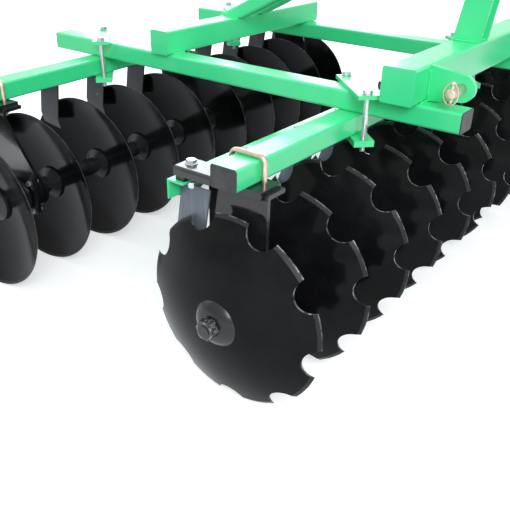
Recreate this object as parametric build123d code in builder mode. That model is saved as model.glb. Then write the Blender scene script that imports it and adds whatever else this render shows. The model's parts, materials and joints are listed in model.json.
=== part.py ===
from build123d import *
import os
from math import atan2, cos, degrees, hypot, radians, sin, sqrt, tan

os.makedirs("parts", exist_ok=True)

# Mounted offset disc harrow. Millimetres, +X forward (towards the tractor), +Y to the machine's
# left, +Z up. The origin is on the ground, under the middle of the machine's outline.

# ---- driving dimensions -------------------------------------------------------------------
FRONT_AXLE_X = 569.5      # front gang axle, ahead of the origin
CENTRE_Y = -45.0          # the frame's centre line, measured from the origin
AXLE_SETBACK = 1129.6     # rear gang axle behind the front one, on the centre line
REAR_ANGLE = 3.5          # degrees that the rear gang is turned about +Z
REAR_SHIFT = 91.4         # rear gang moved along its own axle

DISCS = 10                # discs on each gang
DISC_R = 280.0
DISC_T = 5.0
BOWL_R = 580.0            # radius of the hollow face
SEAT_R = 60.0             # flat middle of a disc
EDGE_T = 0.8              # land left at the sharpened rim
BEVEL_R = 270.0           # the sharpened band starts here
DISC_PITCH = 243.0
NOTCHES = 9
NOTCH_DEPTH = 40.0
NOTCH_CHORD = 92.4

AXLE_SIDE = 30.0
AXLE_FIT = 0.5            # gap between the square axle and a square bore, each side
THREAD_R = 14.5
NUT_AF = 52.0
NUT_T = 24.0
END_BELL_R = 66.0
END_BELL_T = 20.0
END_BELL_CROWN = (14.0, 50.0)   # point of its dome: from the disc, from the axle
END_NUT_RIM = 4.0         # flat of the bell round the nut
END_WASHER_T = 22.0
END_WASHER_EDGE = 10.0
THREAD_OUT = 2.0         # thread standing out of a nut

SPOOL_R = 31.0
FLANGE_R = 59.0
FLANGE_T = 8.0
FLARE_L = 16.0
BELL_R = 62.0
BELL_RIM = 12.0
BELL_FLARE = 24.0
BEARING_SPOOLS = (0, 4, 8)   # which of the spools run in a bearing

JOURNAL_R = 32.0
JOURNAL_FIT = 0.06        # running clearance, each side
RUN_GAP = 6.0             # air between moving and fixed faces
HOUSING_R = 60.0
HOUSING_T = 44.0
HOUSING_FLANGE_R = 78.0
HOUSING_FLANGE_T = 12.0
GUARD_GAP = 6.0

BEAM_W = 80.0             # gang beam, 80 wide and 60 high
BEAM_H = 60.0
BEAM_X = -10.0            # middle of the gang beam, from the axle
BEAM_WALL = 5.0
TUBE_CORNER = 8.0         # outer corner radius of the tubes
BEAM_CLEAR = 104.0        # middle of the gang beams above the tops of the discs
BEAM_OVERHANG = 77.5      # beam past the middle of its end bearings
CAP_T = 3.0

MAIN_W = 80.0             # main beams, 80 wide and 60 high
MAIN_H = 60.0
MAIN_Y = 425.6
MAIN_FRONT = 335.0        # main beam ahead of the front axle
MAIN_PAST = 210.4         # main beam behind the rear axle

HANGER_W = 184.0
HANGER_T = 12.0
HANGER_FACE = -22.0       # near face of a hanger from the middle of its spool
HANGER_BEND = 16.0
HANGER_FOOT_R = 86.0
HANGER_WAIST = 172.0
REAR_CRANK = 79.0         # seat of a rear hanger moved over from its bearing
CRANK_LOW = 105.0         # height above the axle where the crank starts
CRANK_END = 14.0          # upright stretch between the crank and the bend
CLAMP_PLATE_T = 10.0
CLAMP_PLATE_W = 158.0
CLAMP_PLATE_Y = (-32.0, 52.0)
LIP_T = 8.0               # lip turned down at the near edge of a clamp plate
LIP_DROP = 12.0
U_BOLT_X = 51.0
U_BOLT_Y = 20.0
U_BOLT_HOLE_R = 7.6

BRACKET_W = 80.0
BRACKET_L = 122.0
BRACKET_H = 24.0
BRACKET_T = 8.0
BRACKET_R = 9.0           # rounded long edges of the channel
BAR_LEG = 55.0
BAR_T = 6.0
BAR_BACK = 193.0          # back of the angle bar behind the gang axle
BAR_DROP = 16.0           # top of the angle bar under the gang beam's lower face
BAR_OVERHANG = 2.5        # angle bar past the end of the gang beam
PACKING_L = 30.0          # packing block between a bracket and the angle bar

BLADE_W = 95.0
BLADE_T = 6.0
BLADE_TURN = 9.5          # degrees that a blade hangs back from upright
BLADE_X = -133.0          # middle of a blade's top edge, from the axle
BLADE_Y = 14.0            # middle of its thickness, from the rim plane on the hollow side
BLADE_CLEAR = 32.0        # middle of a blade's top edge above the tops of the discs
BLADE_TRIM = 8.0          # blades are cut level this far above it
BLADE_L = 122.0           # flat length, down to the bent tip
TIP_L = 48.0
TIP_BEND = 20.0           # degrees that the tip is bent into the bowl
TAB_L = 37.0              # top tab under the angle bar
TAB_T = 8.0

CLAMP_BAR_W = 60.0        # clamp bars run cornerwise across each crossing
LOW_BAR_T = 18.0
TOP_BAR_T = 12.0
ROD_END = 14.0            # bar past the middle of its rod
ROD_X = 78.0
ROD_Y = 76.5
ROD_HOLE_R = 8.6

HEAD_TUBE = 100.0
HEAD_X = 156.0            # headstock tube ahead of the front axle
HEAD_WALL = 6.0
HEAD_LEN = 1010.0
REAR_TUBE = 80.0
REAR_TUBE_X = -760.0
REAR_TUBE_LEN = 960.0
PIN_R = 14.2              # lower link pins, 28.4 mm across
PIN_SHOULDER_Y = 412.5    # 825 mm between the shoulders
PIN_OUT = 80.0
PIN_NECK_R = 13.0         # the pin inside its cheek
PIN_RELIEF = 2.0          # neck standing out of the cheek
PIN_CHAMFER = 3.0
PIN_HEAD = 10.0
PIN_HEAD_R = 24.0
PIN_X = 300.0
CHEEK_T = 16.0
CHEEK_R = 38.0
TOP_BORE_R = 12.8         # top link bore, 25.6 mm across
MAST_HEIGHT = 610.0       # top link bore above the lower pins
MAST_X = 240.0
MAST_GAP = 52.0           # between the mast's two plates
MAST_T = 12.0
MAST_FOOT = 90.0
MAST_HEAD_R = 36.0
BRACE = 50.0              # brace tube, square
BRACE_WALL = 4.0
BRACE_DROP = 80.0         # start of a brace's centre line under the top link bore

# ---- worked out from them -----------------------------------------------------------------
AXLE_Z = DISC_R
BEAM_Z = AXLE_Z + DISC_R + BEAM_CLEAR
BEAM_TOP = BEAM_Z + BEAM_H / 2
BEAM_LOW = BEAM_Z - BEAM_H / 2
BEAM_BACK = BEAM_X - BEAM_W / 2
MAIN_BACK = AXLE_SETBACK + MAIN_PAST
HANGER_TOP = BEAM_LOW - CLAMP_PLATE_T
CRANK_HIGH = HANGER_TOP - HANGER_BEND - CRANK_END - AXLE_Z
BLADE_Z = AXLE_Z + DISC_R + BLADE_CLEAR
BLADE_TOP = BLADE_Z + BLADE_TRIM
MAIN_TOP = BEAM_TOP + MAIN_H
FACE_CENTRE = DISC_T + sqrt(BOWL_R**2 - SEAT_R**2)    # bowl centre from the convex flat
RIM = FACE_CENTRE - sqrt(BOWL_R**2 - DISC_R**2)       # rim plane from the convex flat
NOTCH_R = ((NOTCH_CHORD / 2) ** 2 + NOTCH_DEPTH**2) / (2 * NOTCH_DEPTH)
NOTCH_AT = DISC_R - NOTCH_DEPTH + NOTCH_R             # middle of a notch's arc
SPOOL_L = DISC_PITCH - DISC_T
BORE = AXLE_SIDE + 2 * AXLE_FIT
HUBS = [(i - (DISCS - 1) / 2) * DISC_PITCH for i in range(DISCS)]
U_BOLT_HOLES = (BEAM_X - U_BOLT_X, BEAM_X + U_BOLT_X)
RODS = ((ROD_X, -ROD_Y), (-ROD_X, ROD_Y))             # from the middle of a crossing
CLAMP_BAR_L = 2 * (hypot(ROD_X, ROD_Y) + ROD_END)
CLAMP_BAR_TURN = degrees(atan2(-ROD_Y, ROD_X))

# Turn of each front disc on the square axle, in quarter turns of 90 degrees.
NOTCH_TURNS = (1, 3, 3, 3, 3, 0, 2, 1, 3, 2)
NOTCH_START = 0.5         # degrees

FRONT = Plane(origin=(FRONT_AXLE_X, CENTRE_Y, 0))
REAR = Plane(
    origin=(FRONT_AXLE_X - AXLE_SETBACK, CENTRE_Y, 0),
    x_dir=(cos(radians(REAR_ANGLE)), sin(radians(REAR_ANGLE)), 0),
    z_dir=(0, 0, 1),
)


class Gang:
    """A row of discs: its base plane, the side its bowls open to, and where its hubs are."""

    def __init__(self, name, base, opens, shift, crank):
        self.name = name
        self.base = base
        self.opens = opens            # +1 where the bowls open towards +Y, -1 towards -Y
        self.hubs = [hub + shift for hub in HUBS]
        self.crank = crank            # hanger seats moved over towards -Y

    def point(self, x, y, z):
        """A point of the gang's own frame in the part's frame."""
        return self.base.from_local_coords((x, y, z))

    def across(self, y, x=0, z=0):
        """Plane square to the axle at y: local x forward, local y up, normal towards -Y."""
        return Plane(origin=self.point(x, y, z), x_dir=self.base.x_dir, z_dir=-self.base.y_dir)

    def along(self, x=0):
        """Upright plane along the axle: local x towards +Y, local y up, at axle height."""
        return Plane(origin=self.point(x, 0, AXLE_Z), x_dir=self.base.y_dir, z_dir=self.base.x_dir)

    def level(self, z):
        """Level plane in the gang's frame."""
        return self.base.offset(z)

    def axis(self):
        """The axle's centre line."""
        return Axis(self.point(0, 0, AXLE_Z), self.base.y_dir)

    def spools(self):
        """The two ends of each spool along the axle."""
        back = DISC_T if self.opens > 0 else 0
        front = 0 if self.opens > 0 else DISC_T
        return [(a + back, b - front) for a, b in zip(self.hubs, self.hubs[1:])]

    def bearings(self):
        """The middle of each bearing spool along the axle."""
        ends = self.spools()
        return [sum(ends[i]) / 2 for i in BEARING_SPOOLS]

    def seats(self):
        """The middle of each hanger's seat under the gang beam."""
        return [middle - self.crank for middle in self.bearings()]

    def beam_ends(self):
        """The two ends of the gang beam."""
        return self.seats()[0] - BEAM_OVERHANG, self.bearings()[-1] + BEAM_OVERHANG

    def bar_ends(self):
        """The two ends of the scraper bar, which reaches past the last scraper's tab."""
        low, high = self.beam_ends()
        reach = RIM + BLADE_Y + TAB_L + BAR_OVERHANG
        if self.opens > 0:
            return low - BAR_OVERHANG, self.hubs[-1] + reach
        return self.hubs[0] - reach, high + BAR_OVERHANG


GANGS = (Gang("front", FRONT, 1, 0.0, 0.0), Gang("rear", REAR, -1, REAR_SHIFT, REAR_CRANK))


def tube_section(width, height, wall):
    """Cross-section of a tube with rounded corners, in the sketch that is open."""
    RectangleRounded(width, height, TUBE_CORNER)
    inner = TUBE_CORNER - wall
    RectangleRounded(width - 2 * wall, height - 2 * wall, inner, mode=Mode.SUBTRACT)


def save(piece, name):
    """Label a finished piece and write it."""
    piece.part.label = name
    export_step(piece.part, f"parts/{name}.step")


# ---- discs --------------------------------------------------------------------------------
def bowl(start, radius, at):
    """Depth of a sphere that leaves the flat seat at start, at distance at from the axle."""
    return start + sqrt(radius**2 - SEAT_R**2) - sqrt(radius**2 - at**2)


def build_discs(gang, notch_turns):
    """All discs of a gang; notch_turns is None for plain discs."""
    side = gang.opens
    outer_r = BOWL_R + DISC_T
    rim_in = bowl(DISC_T, BOWL_R, DISC_R)
    inner_radii = (SEAT_R, (SEAT_R + DISC_R) / 2, DISC_R)
    outer_radii = (BEVEL_R, (SEAT_R + BEVEL_R) / 2, SEAT_R)
    reach = gang.hubs[-1] - gang.hubs[0] + 2 * DISC_R
    with BuildPart() as discs:
        with BuildSketch(gang.along()):
            for hub in gang.hubs:
                inner = [(hub + side * bowl(DISC_T, BOWL_R, at), at) for at in inner_radii]
                outer = [(hub + side * bowl(0, outer_r, at), at) for at in outer_radii]
                with BuildLine():
                    Polyline(outer[2], (hub, 0), (hub + side * DISC_T, 0), inner[0])
                    ThreePointArc(*inner)
                    Polyline(inner[2], (hub + side * (rim_in - EDGE_T), DISC_R), outer[0])
                    ThreePointArc(*outer)
                make_face()
        revolve(axis=gang.axis())
        with BuildSketch(gang.across(gang.hubs[-1] + DISC_R, z=AXLE_Z)):
            Rectangle(BORE, BORE)
        extrude(amount=reach, mode=Mode.SUBTRACT)
        if notch_turns:
            for hub, turns in zip(gang.hubs, notch_turns):
                start = NOTCH_START + 90 * turns + 180 / NOTCHES
                with BuildSketch(gang.across(hub + RIM + DISC_T, z=AXLE_Z)):
                    with PolarLocations(NOTCH_AT, NOTCHES, start_angle=start):
                        Circle(NOTCH_R)
                extrude(amount=RIM, mode=Mode.SUBTRACT)
    save(discs, f"{gang.name}_discs")


# ---- axle, spools and end pieces ----------------------------------------------------------
def build_axle(gang):
    """Square axle with a round threaded stub at each end."""
    low = min(gang.hubs[0], gang.spools()[0][0] - DISC_T)
    high = max(gang.hubs[-1], gang.spools()[-1][1] + DISC_T)
    before, after = end_thicknesses(gang)
    with BuildPart() as axle:
        with BuildSketch(gang.across(high + after - 4, z=AXLE_Z)):
            Rectangle(AXLE_SIDE, AXLE_SIDE)
        extrude(amount=high - low + before + after - 8)
        with BuildSketch(gang.across(high + after + NUT_T + THREAD_OUT, z=AXLE_Z)):
            Circle(THREAD_R)
        extrude(amount=high - low + before + after + 2 * (NUT_T + THREAD_OUT))
    save(axle, f"{gang.name}_axle")


def end_thicknesses(gang):
    """Thickness of the end piece at the right and at the left end of a gang."""
    return (END_BELL_T, END_WASHER_T) if gang.opens > 0 else (END_WASHER_T, END_BELL_T)


def build_ends(gang):
    """A domed bell on the convex end, a stepped washer in the hollow end, and two nuts."""
    low = gang.spools()[0][0] - DISC_T
    high = gang.spools()[-1][1] + DISC_T
    convex, hollow = (low, high) if gang.opens > 0 else (high, low)
    out = -gang.opens                 # the convex end faces this way along the axle
    with BuildPart() as bell:
        with BuildSketch(gang.along()):
            with BuildLine():
                Polyline(
                    (convex + out * END_BELL_T, NUT_AF / 2 + END_NUT_RIM),
                    (convex + out * END_BELL_T, 0),
                    (convex, 0),
                    (convex, END_BELL_R),
                )
                ThreePointArc(
                    (convex, END_BELL_R),
                    (convex + out * END_BELL_CROWN[0], END_BELL_CROWN[1]),
                    (convex + out * END_BELL_T, NUT_AF / 2 + END_NUT_RIM),
                )
            make_face()
        revolve(axis=gang.axis())
        with BuildSketch(gang.across(convex + END_BELL_T + 1, z=AXLE_Z)):
            Rectangle(BORE, BORE)
        extrude(amount=2 * END_BELL_T + 2, mode=Mode.SUBTRACT)
    save(bell, f"{gang.name}_end_bell")
    with BuildPart() as washer:
        with BuildSketch(gang.along()):
            with BuildLine():
                Polyline(
                    (hollow, 0),
                    (hollow, FLANGE_R),
                    (hollow - out * END_WASHER_EDGE, FLANGE_R),
                    (hollow - out * END_WASHER_T, NUT_AF / 2 + END_NUT_RIM),
                    (hollow - out * END_WASHER_T, 0),
                    close=True,
                )
            make_face()
        revolve(axis=gang.axis())
        with BuildSketch(gang.across(hollow + END_WASHER_T + 1, z=AXLE_Z)):
            Rectangle(BORE, BORE)
        extrude(amount=2 * END_WASHER_T + 2, mode=Mode.SUBTRACT)
    save(washer, f"{gang.name}_end_washer")
    with BuildPart() as nuts:
        for face, way, thickness in ((convex, out, END_BELL_T), (hollow, -out, END_WASHER_T)):
            near = face + way * thickness
            with BuildSketch(gang.across(max(near, near + way * NUT_T), z=AXLE_Z)):
                RegularPolygon(NUT_AF / 2, 6, major_radius=False)
                Circle(THREAD_R + 0.1, mode=Mode.SUBTRACT)
            extrude(amount=NUT_T)
    save(nuts, f"{gang.name}_axle_nuts")


def spool_profile(start, end):
    """Half section of a plain spool with a flared flange at each end."""
    Polyline(
        (start, 0),
        (start, FLANGE_R),
        (start + FLANGE_T, FLANGE_R),
        (start + FLANGE_T + FLARE_L, SPOOL_R),
        (end - FLANGE_T - FLARE_L, SPOOL_R),
        (end - FLANGE_T, FLANGE_R),
        (end, FLANGE_R),
        (end, 0),
        close=True,
    )


def bearing_spool_profile(start, end, low, high):
    """The same with a journal between two bells; low and high are the bells' inner faces."""
    Polyline(
        (start, 0),
        (start, FLANGE_R),
        (start + FLANGE_T, FLANGE_R),
        (start + FLANGE_T + FLARE_L, SPOOL_R),
        (low - BELL_RIM - BELL_FLARE, SPOOL_R),
        (low - BELL_RIM, BELL_R),
        (low, BELL_R),
        (low, JOURNAL_R),
        (high, JOURNAL_R),
        (high, BELL_R),
        (high + BELL_RIM, BELL_R),
        (high + BELL_RIM + BELL_FLARE, SPOOL_R),
        (end - FLANGE_T - FLARE_L, SPOOL_R),
        (end - FLANGE_T, FLANGE_R),
        (end, FLANGE_R),
        (end, 0),
        close=True,
    )


def bearing_faces(middle):
    """Inner faces of a bearing spool's two bells along the axle."""
    return middle + HANGER_FACE - RUN_GAP, middle + HANGER_FACE + HANGER_T + HOUSING_T + RUN_GAP


def build_spools(gang):
    """Plain spools between the discs, and the spools that run in the bearings."""
    places = list(enumerate(gang.spools()))
    plain = [ends for i, ends in places if i not in BEARING_SPOOLS]
    running = [ends for i, ends in places if i in BEARING_SPOOLS]
    for name, spools in (("spools", plain), ("bearing_spools", running)):
        with BuildPart() as row:
            with BuildSketch(gang.along()):
                for start, end in spools:
                    with BuildLine():
                        if name == "spools":
                            spool_profile(start, end)
                        else:
                            bearing_spool_profile(start, end, *bearing_faces((start + end) / 2))
                    make_face()
            revolve(axis=gang.axis())
            with BuildSketch(gang.across(gang.hubs[-1] + DISC_R, z=AXLE_Z)):
                Rectangle(BORE, BORE)
            extrude(amount=gang.hubs[-1] - gang.hubs[0] + 2 * DISC_R, mode=Mode.SUBTRACT)
        save(row, f"{gang.name}_{name}")


# ---- bearings and hangers -----------------------------------------------------------------
def build_housings(gang):
    """Flanged bearing housings on the far face of the hangers."""
    with BuildPart() as housings:
        for middle in gang.bearings():
            seat = middle + HANGER_FACE + HANGER_T
            with BuildSketch(gang.across(seat + HOUSING_T, z=AXLE_Z)):
                Circle(HOUSING_R)
            extrude(amount=HOUSING_T)
            with BuildSketch(gang.across(seat + HOUSING_FLANGE_T, z=AXLE_Z)):
                RectangleRounded(2 * HOUSING_FLANGE_R - 16, 2 * HOUSING_FLANGE_R - 16, 20)
            extrude(amount=HOUSING_FLANGE_T)
            with BuildSketch(gang.across(seat + HOUSING_T + 1, z=AXLE_Z)):
                Circle(JOURNAL_R + JOURNAL_FIT)
            extrude(amount=HOUSING_T + 2, mode=Mode.SUBTRACT)
    save(housings, f"{gang.name}_bearing_housings")


def hanger_profile(face, seat, top, flange):
    """Side view of a hanger: upright at face, cranked over to seat, bent under the beam."""
    low = -HANGER_FOOT_R
    bend = top - HANGER_BEND
    under = top - HANGER_T
    Polyline(
        (seat, bend), (seat, CRANK_HIGH), (face, CRANK_LOW), (face, low), (face + HANGER_T, low)
    )
    Polyline(
        (face + HANGER_T, low),
        (face + HANGER_T, CRANK_LOW),
        (seat + HANGER_T, CRANK_HIGH),
        (seat + HANGER_T, bend),
    )
    RadiusArc((seat + HANGER_T, bend), (seat + HANGER_BEND, under), HANGER_BEND - HANGER_T)
    Polyline((seat + HANGER_BEND, under), (flange, under), (flange, top), (seat + HANGER_BEND, top))
    RadiusArc((seat + HANGER_BEND, top), (seat, bend), -HANGER_BEND)


def build_hangers(gang):
    """Hanger plates with the top bent over under the gang beam, and their clamp plates."""
    top = HANGER_TOP
    side = HANGER_W / 2
    waist_z = AXLE_Z + HANGER_WAIST
    holes = [(x, seat + U_BOLT_Y) for seat in gang.seats() for x in U_BOLT_HOLES]
    with BuildPart() as hangers:
        for middle, seat in zip(gang.bearings(), gang.seats()):
            with BuildSketch(gang.across(middle + CLAMP_PLATE_Y[1])):
                with BuildLine():
                    Polyline(
                        (-HANGER_FOOT_R, AXLE_Z),
                        (-HANGER_FOOT_R, AXLE_Z + HANGER_FOOT_R),
                        (BEAM_X - side, waist_z),
                        (BEAM_X - side, top),
                        (BEAM_X + side, top),
                        (BEAM_X + side, waist_z),
                        (HANGER_FOOT_R, AXLE_Z + HANGER_FOOT_R),
                        (HANGER_FOOT_R, AXLE_Z),
                    )
                    ThreePointArc(
                        (HANGER_FOOT_R, AXLE_Z),
                        (0, AXLE_Z - HANGER_FOOT_R),
                        (-HANGER_FOOT_R, AXLE_Z),
                    )
                make_face()
                with Locations((0, AXLE_Z)):
                    Circle(JOURNAL_R + GUARD_GAP, mode=Mode.SUBTRACT)
            extrude(amount=middle - seat + CLAMP_PLATE_Y[1] - HANGER_FACE)
        with BuildSketch(gang.along()):
            for middle, seat in zip(gang.bearings(), gang.seats()):
                with BuildLine():
                    hanger_profile(
                        middle + HANGER_FACE, seat + HANGER_FACE, top - AXLE_Z, seat + CLAMP_PLATE_Y[1]
                    )
                make_face()
        extrude(amount=HANGER_W, both=True, mode=Mode.INTERSECT)
        with BuildSketch(gang.level(top + 1)):
            with Locations(*holes):
                Circle(U_BOLT_HOLE_R)
        extrude(amount=-HANGER_T - 2, mode=Mode.SUBTRACT)
    save(hangers, f"{gang.name}_bearing_hangers")
    with BuildPart() as plates:
        for seat in gang.seats():
            low, high = (seat + y for y in CLAMP_PLATE_Y)
            with BuildSketch(gang.level(top)):
                with Locations((BEAM_X, (low + high) / 2)):
                    Rectangle(CLAMP_PLATE_W, high - low)
            extrude(amount=CLAMP_PLATE_T)
            with BuildSketch(gang.level(top)):
                with Locations((BEAM_X, low + LIP_T / 2)):
                    Rectangle(CLAMP_PLATE_W, LIP_T)
            extrude(amount=-LIP_DROP)
        with BuildSketch(gang.level(top - 1)):
            with Locations(*holes):
                Circle(U_BOLT_HOLE_R)
        extrude(amount=CLAMP_PLATE_T + 2, mode=Mode.SUBTRACT)
    save(plates, f"{gang.name}_hanger_plates")


# ---- gang beams and scrapers --------------------------------------------------------------
def build_gang_beam(gang):
    """Square tube over the gang."""
    low, high = gang.beam_ends()
    with BuildPart() as beam:
        with BuildSketch(gang.across(high - CAP_T, x=BEAM_X, z=BEAM_Z)):
            tube_section(BEAM_W, BEAM_H, BEAM_WALL)
        extrude(amount=high - low - 2 * CAP_T)
    save(beam, f"{gang.name}_gang_beam")
    with BuildPart() as caps:
        for end in (high, low + CAP_T):
            with BuildSketch(gang.across(end, x=BEAM_X, z=BEAM_Z)):
                RectangleRounded(BEAM_W, BEAM_H, TUBE_CORNER)
            extrude(amount=CAP_T)
    save(caps, f"{gang.name}_beam_caps")


def bracket_places(gang):
    """Middle of each scraper bracket along the gang."""
    low, high = gang.beam_ends()
    places = gang.bearings()
    last = high - BRACKET_W / 2 if gang.crank else places[-1] - BRACKET_W
    return low + BRACKET_W / 2, places[1] + BRACKET_W, last


def build_scraper_frame(gang):
    """Channel brackets behind the gang beam, and the angle bar that they carry."""
    with BuildPart() as brackets:
        for middle in bracket_places(gang):
            root = Plane(
                origin=gang.point(BEAM_BACK, middle, BEAM_LOW),
                x_dir=gang.base.y_dir,
                z_dir=-gang.base.x_dir,
            )
            with BuildSketch(root) as channel:
                with Locations((0, -BRACKET_H / 2)):
                    Rectangle(BRACKET_W, BRACKET_H)
                fillet(channel.vertices().sort_by(Axis.Y)[:2], BRACKET_R)
                with Locations((0, -BRACKET_H / 2 + BRACKET_T)):
                    Rectangle(BRACKET_W - 2 * BRACKET_T, BRACKET_H, mode=Mode.SUBTRACT)
            extrude(amount=BRACKET_L)
            packing_x = BEAM_BACK - BRACKET_L + PACKING_L / 2
            with BuildSketch(gang.level(BEAM_LOW - BAR_DROP)):
                with Locations((packing_x, middle)):
                    Rectangle(PACKING_L, BRACKET_W - 2 * BRACKET_T)
            extrude(amount=BAR_DROP + BRACKET_H - BRACKET_T)
    save(brackets, f"{gang.name}_scraper_brackets")
    low, high = gang.bar_ends()
    with BuildPart() as bar:
        with BuildSketch(gang.across(high, z=BEAM_LOW - BAR_DROP)):
            with Locations((-BAR_BACK + BAR_LEG / 2, -BAR_T / 2)):
                Rectangle(BAR_LEG, BAR_T)
            with Locations((-BAR_BACK + BAR_T / 2, -BAR_LEG / 2)):
                Rectangle(BAR_T, BAR_LEG)
        extrude(amount=high - low)
    save(bar, f"{gang.name}_scraper_bar")


def build_scrapers(gang):
    """One blade for each disc, its tip bent into the bowl, on a tab under the angle bar."""
    bar_under = BEAM_LOW - BAR_DROP - BAR_T
    tab_front = -BAR_BACK + BAR_LEG
    tab_back = -BAR_BACK + BAR_T
    tip_in = TIP_L * sin(radians(TIP_BEND))
    tip_down = TIP_L * cos(radians(TIP_BEND))
    side = gang.opens
    rise = BLADE_W * sin(radians(BLADE_TURN)) + BLADE_TOP - BLADE_Z
    row = gang.hubs[-1] - gang.hubs[0] + 4 * DISC_R
    places = [hub + side * (RIM + BLADE_Y) for hub in gang.hubs]
    with BuildPart() as scrapers:
        for place in places:
            down = -gang.base.x_dir * sin(radians(BLADE_TURN)) - Vector(0, 0, cos(radians(BLADE_TURN)))
            blade = Plane(
                origin=gang.point(BLADE_X, place, BLADE_Z),
                x_dir=gang.base.y_dir,
                z_dir=gang.base.y_dir.cross(down) * -1,
            )
            flip = 1 if blade.y_dir.dot(down) > 0 else -1
            with BuildSketch(blade):
                with BuildLine():
                    Polyline(
                        (-BLADE_T / 2, -flip * rise),
                        (BLADE_T / 2, -flip * rise),
                        (BLADE_T / 2, flip * BLADE_L),
                        (BLADE_T / 2 - side * tip_in, flip * (BLADE_L + tip_down)),
                        (-BLADE_T / 2 - side * tip_in, flip * (BLADE_L + tip_down)),
                        (-BLADE_T / 2, flip * BLADE_L),
                        close=True,
                    )
                make_face()
            extrude(amount=BLADE_W / 2, both=True)
        with BuildSketch(gang.level(BLADE_TOP)):
            with Locations((BLADE_X, (places[0] + places[-1]) / 2)):
                Rectangle(2 * BLADE_W, row)
        extrude(amount=2 * rise, mode=Mode.SUBTRACT)
        tab_mid = (tab_front + tab_back) / 2
        for place in places:
            with BuildSketch(gang.level(bar_under)):
                with Locations((tab_mid, place)):
                    Rectangle(tab_front - tab_back, BLADE_T)
            extrude(amount=-(bar_under - BLADE_Z) - 2 * BLADE_T)
            with BuildSketch(gang.level(bar_under)):
                with Locations((tab_mid, place + side * TAB_L / 2)):
                    Rectangle(tab_front - tab_back, TAB_L)
            extrude(amount=-TAB_T)
    save(scrapers, f"{gang.name}_scrapers")


# ---- main beams, clamps and hitch ---------------------------------------------------------
def frame_plane(x, y, z):
    """Level plane in the frame's own directions, measured from the front axle."""
    return Plane(origin=FRONT.from_local_coords((x, y, z)))


def build_main_beams():
    """Two longitudinal rectangular tubes with end caps."""
    length = MAIN_FRONT + MAIN_BACK
    for name, y in (("right", -MAIN_Y), ("left", MAIN_Y)):
        end = Plane(
            origin=FRONT.from_local_coords((MAIN_FRONT - CAP_T, y, BEAM_TOP + MAIN_H / 2)),
            x_dir=(0, 1, 0),
            z_dir=(1, 0, 0),
        )
        with BuildPart() as beam:
            with BuildSketch(end):
                tube_section(MAIN_W, MAIN_H, BEAM_WALL)
            extrude(amount=-length + 2 * CAP_T)
        save(beam, f"{name}_main_beam")
    with BuildPart() as caps:
        for x in (MAIN_FRONT, -MAIN_BACK + CAP_T):
            for y in (-MAIN_Y, MAIN_Y):
                face = Plane(
                    origin=FRONT.from_local_coords((x, y, BEAM_TOP + MAIN_H / 2)),
                    x_dir=(0, 1, 0),
                    z_dir=(1, 0, 0),
                )
                with BuildSketch(face):
                    RectangleRounded(MAIN_W, MAIN_H, TUBE_CORNER)
                extrude(amount=-CAP_T)
    save(caps, "main_beam_caps")


def build_clamps(gang, crossing):
    """A bar under the gang beam and one over the main beam, cornerwise at each crossing."""
    parts = (
        ("clamp_bars", BEAM_LOW - LOW_BAR_T, LOW_BAR_T),
        ("clamp_plates", MAIN_TOP, TOP_BAR_T),
    )
    for name, base_z, thickness in parts:
        with BuildPart() as bars:
            for y in (-MAIN_Y, MAIN_Y):
                with BuildSketch(frame_plane(crossing(y), y, base_z)):
                    Rectangle(CLAMP_BAR_L, CLAMP_BAR_W, rotation=CLAMP_BAR_TURN)
                    with Locations(*RODS):
                        Circle(ROD_HOLE_R, mode=Mode.SUBTRACT)
                extrude(amount=thickness)
        save(bars, f"{gang.name}_{name}")


def square_tube(name, x, y_length, side, wall, base_z):
    """A square tube across the frame, seated on the main beams, its ends closed by plates."""
    end = Plane(
        origin=FRONT.from_local_coords((x, y_length / 2, base_z + side / 2)),
        x_dir=(1, 0, 0),
        z_dir=(0, -1, 0),
    )
    with BuildPart() as tube:
        with BuildSketch(end):
            RectangleRounded(side, side, TUBE_CORNER)
        extrude(amount=y_length)
        with BuildSketch(end.offset(wall)):
            RectangleRounded(side - 2 * wall, side - 2 * wall, TUBE_CORNER - wall)
        extrude(amount=y_length - 2 * wall, mode=Mode.SUBTRACT)
    save(tube, name)


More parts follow.
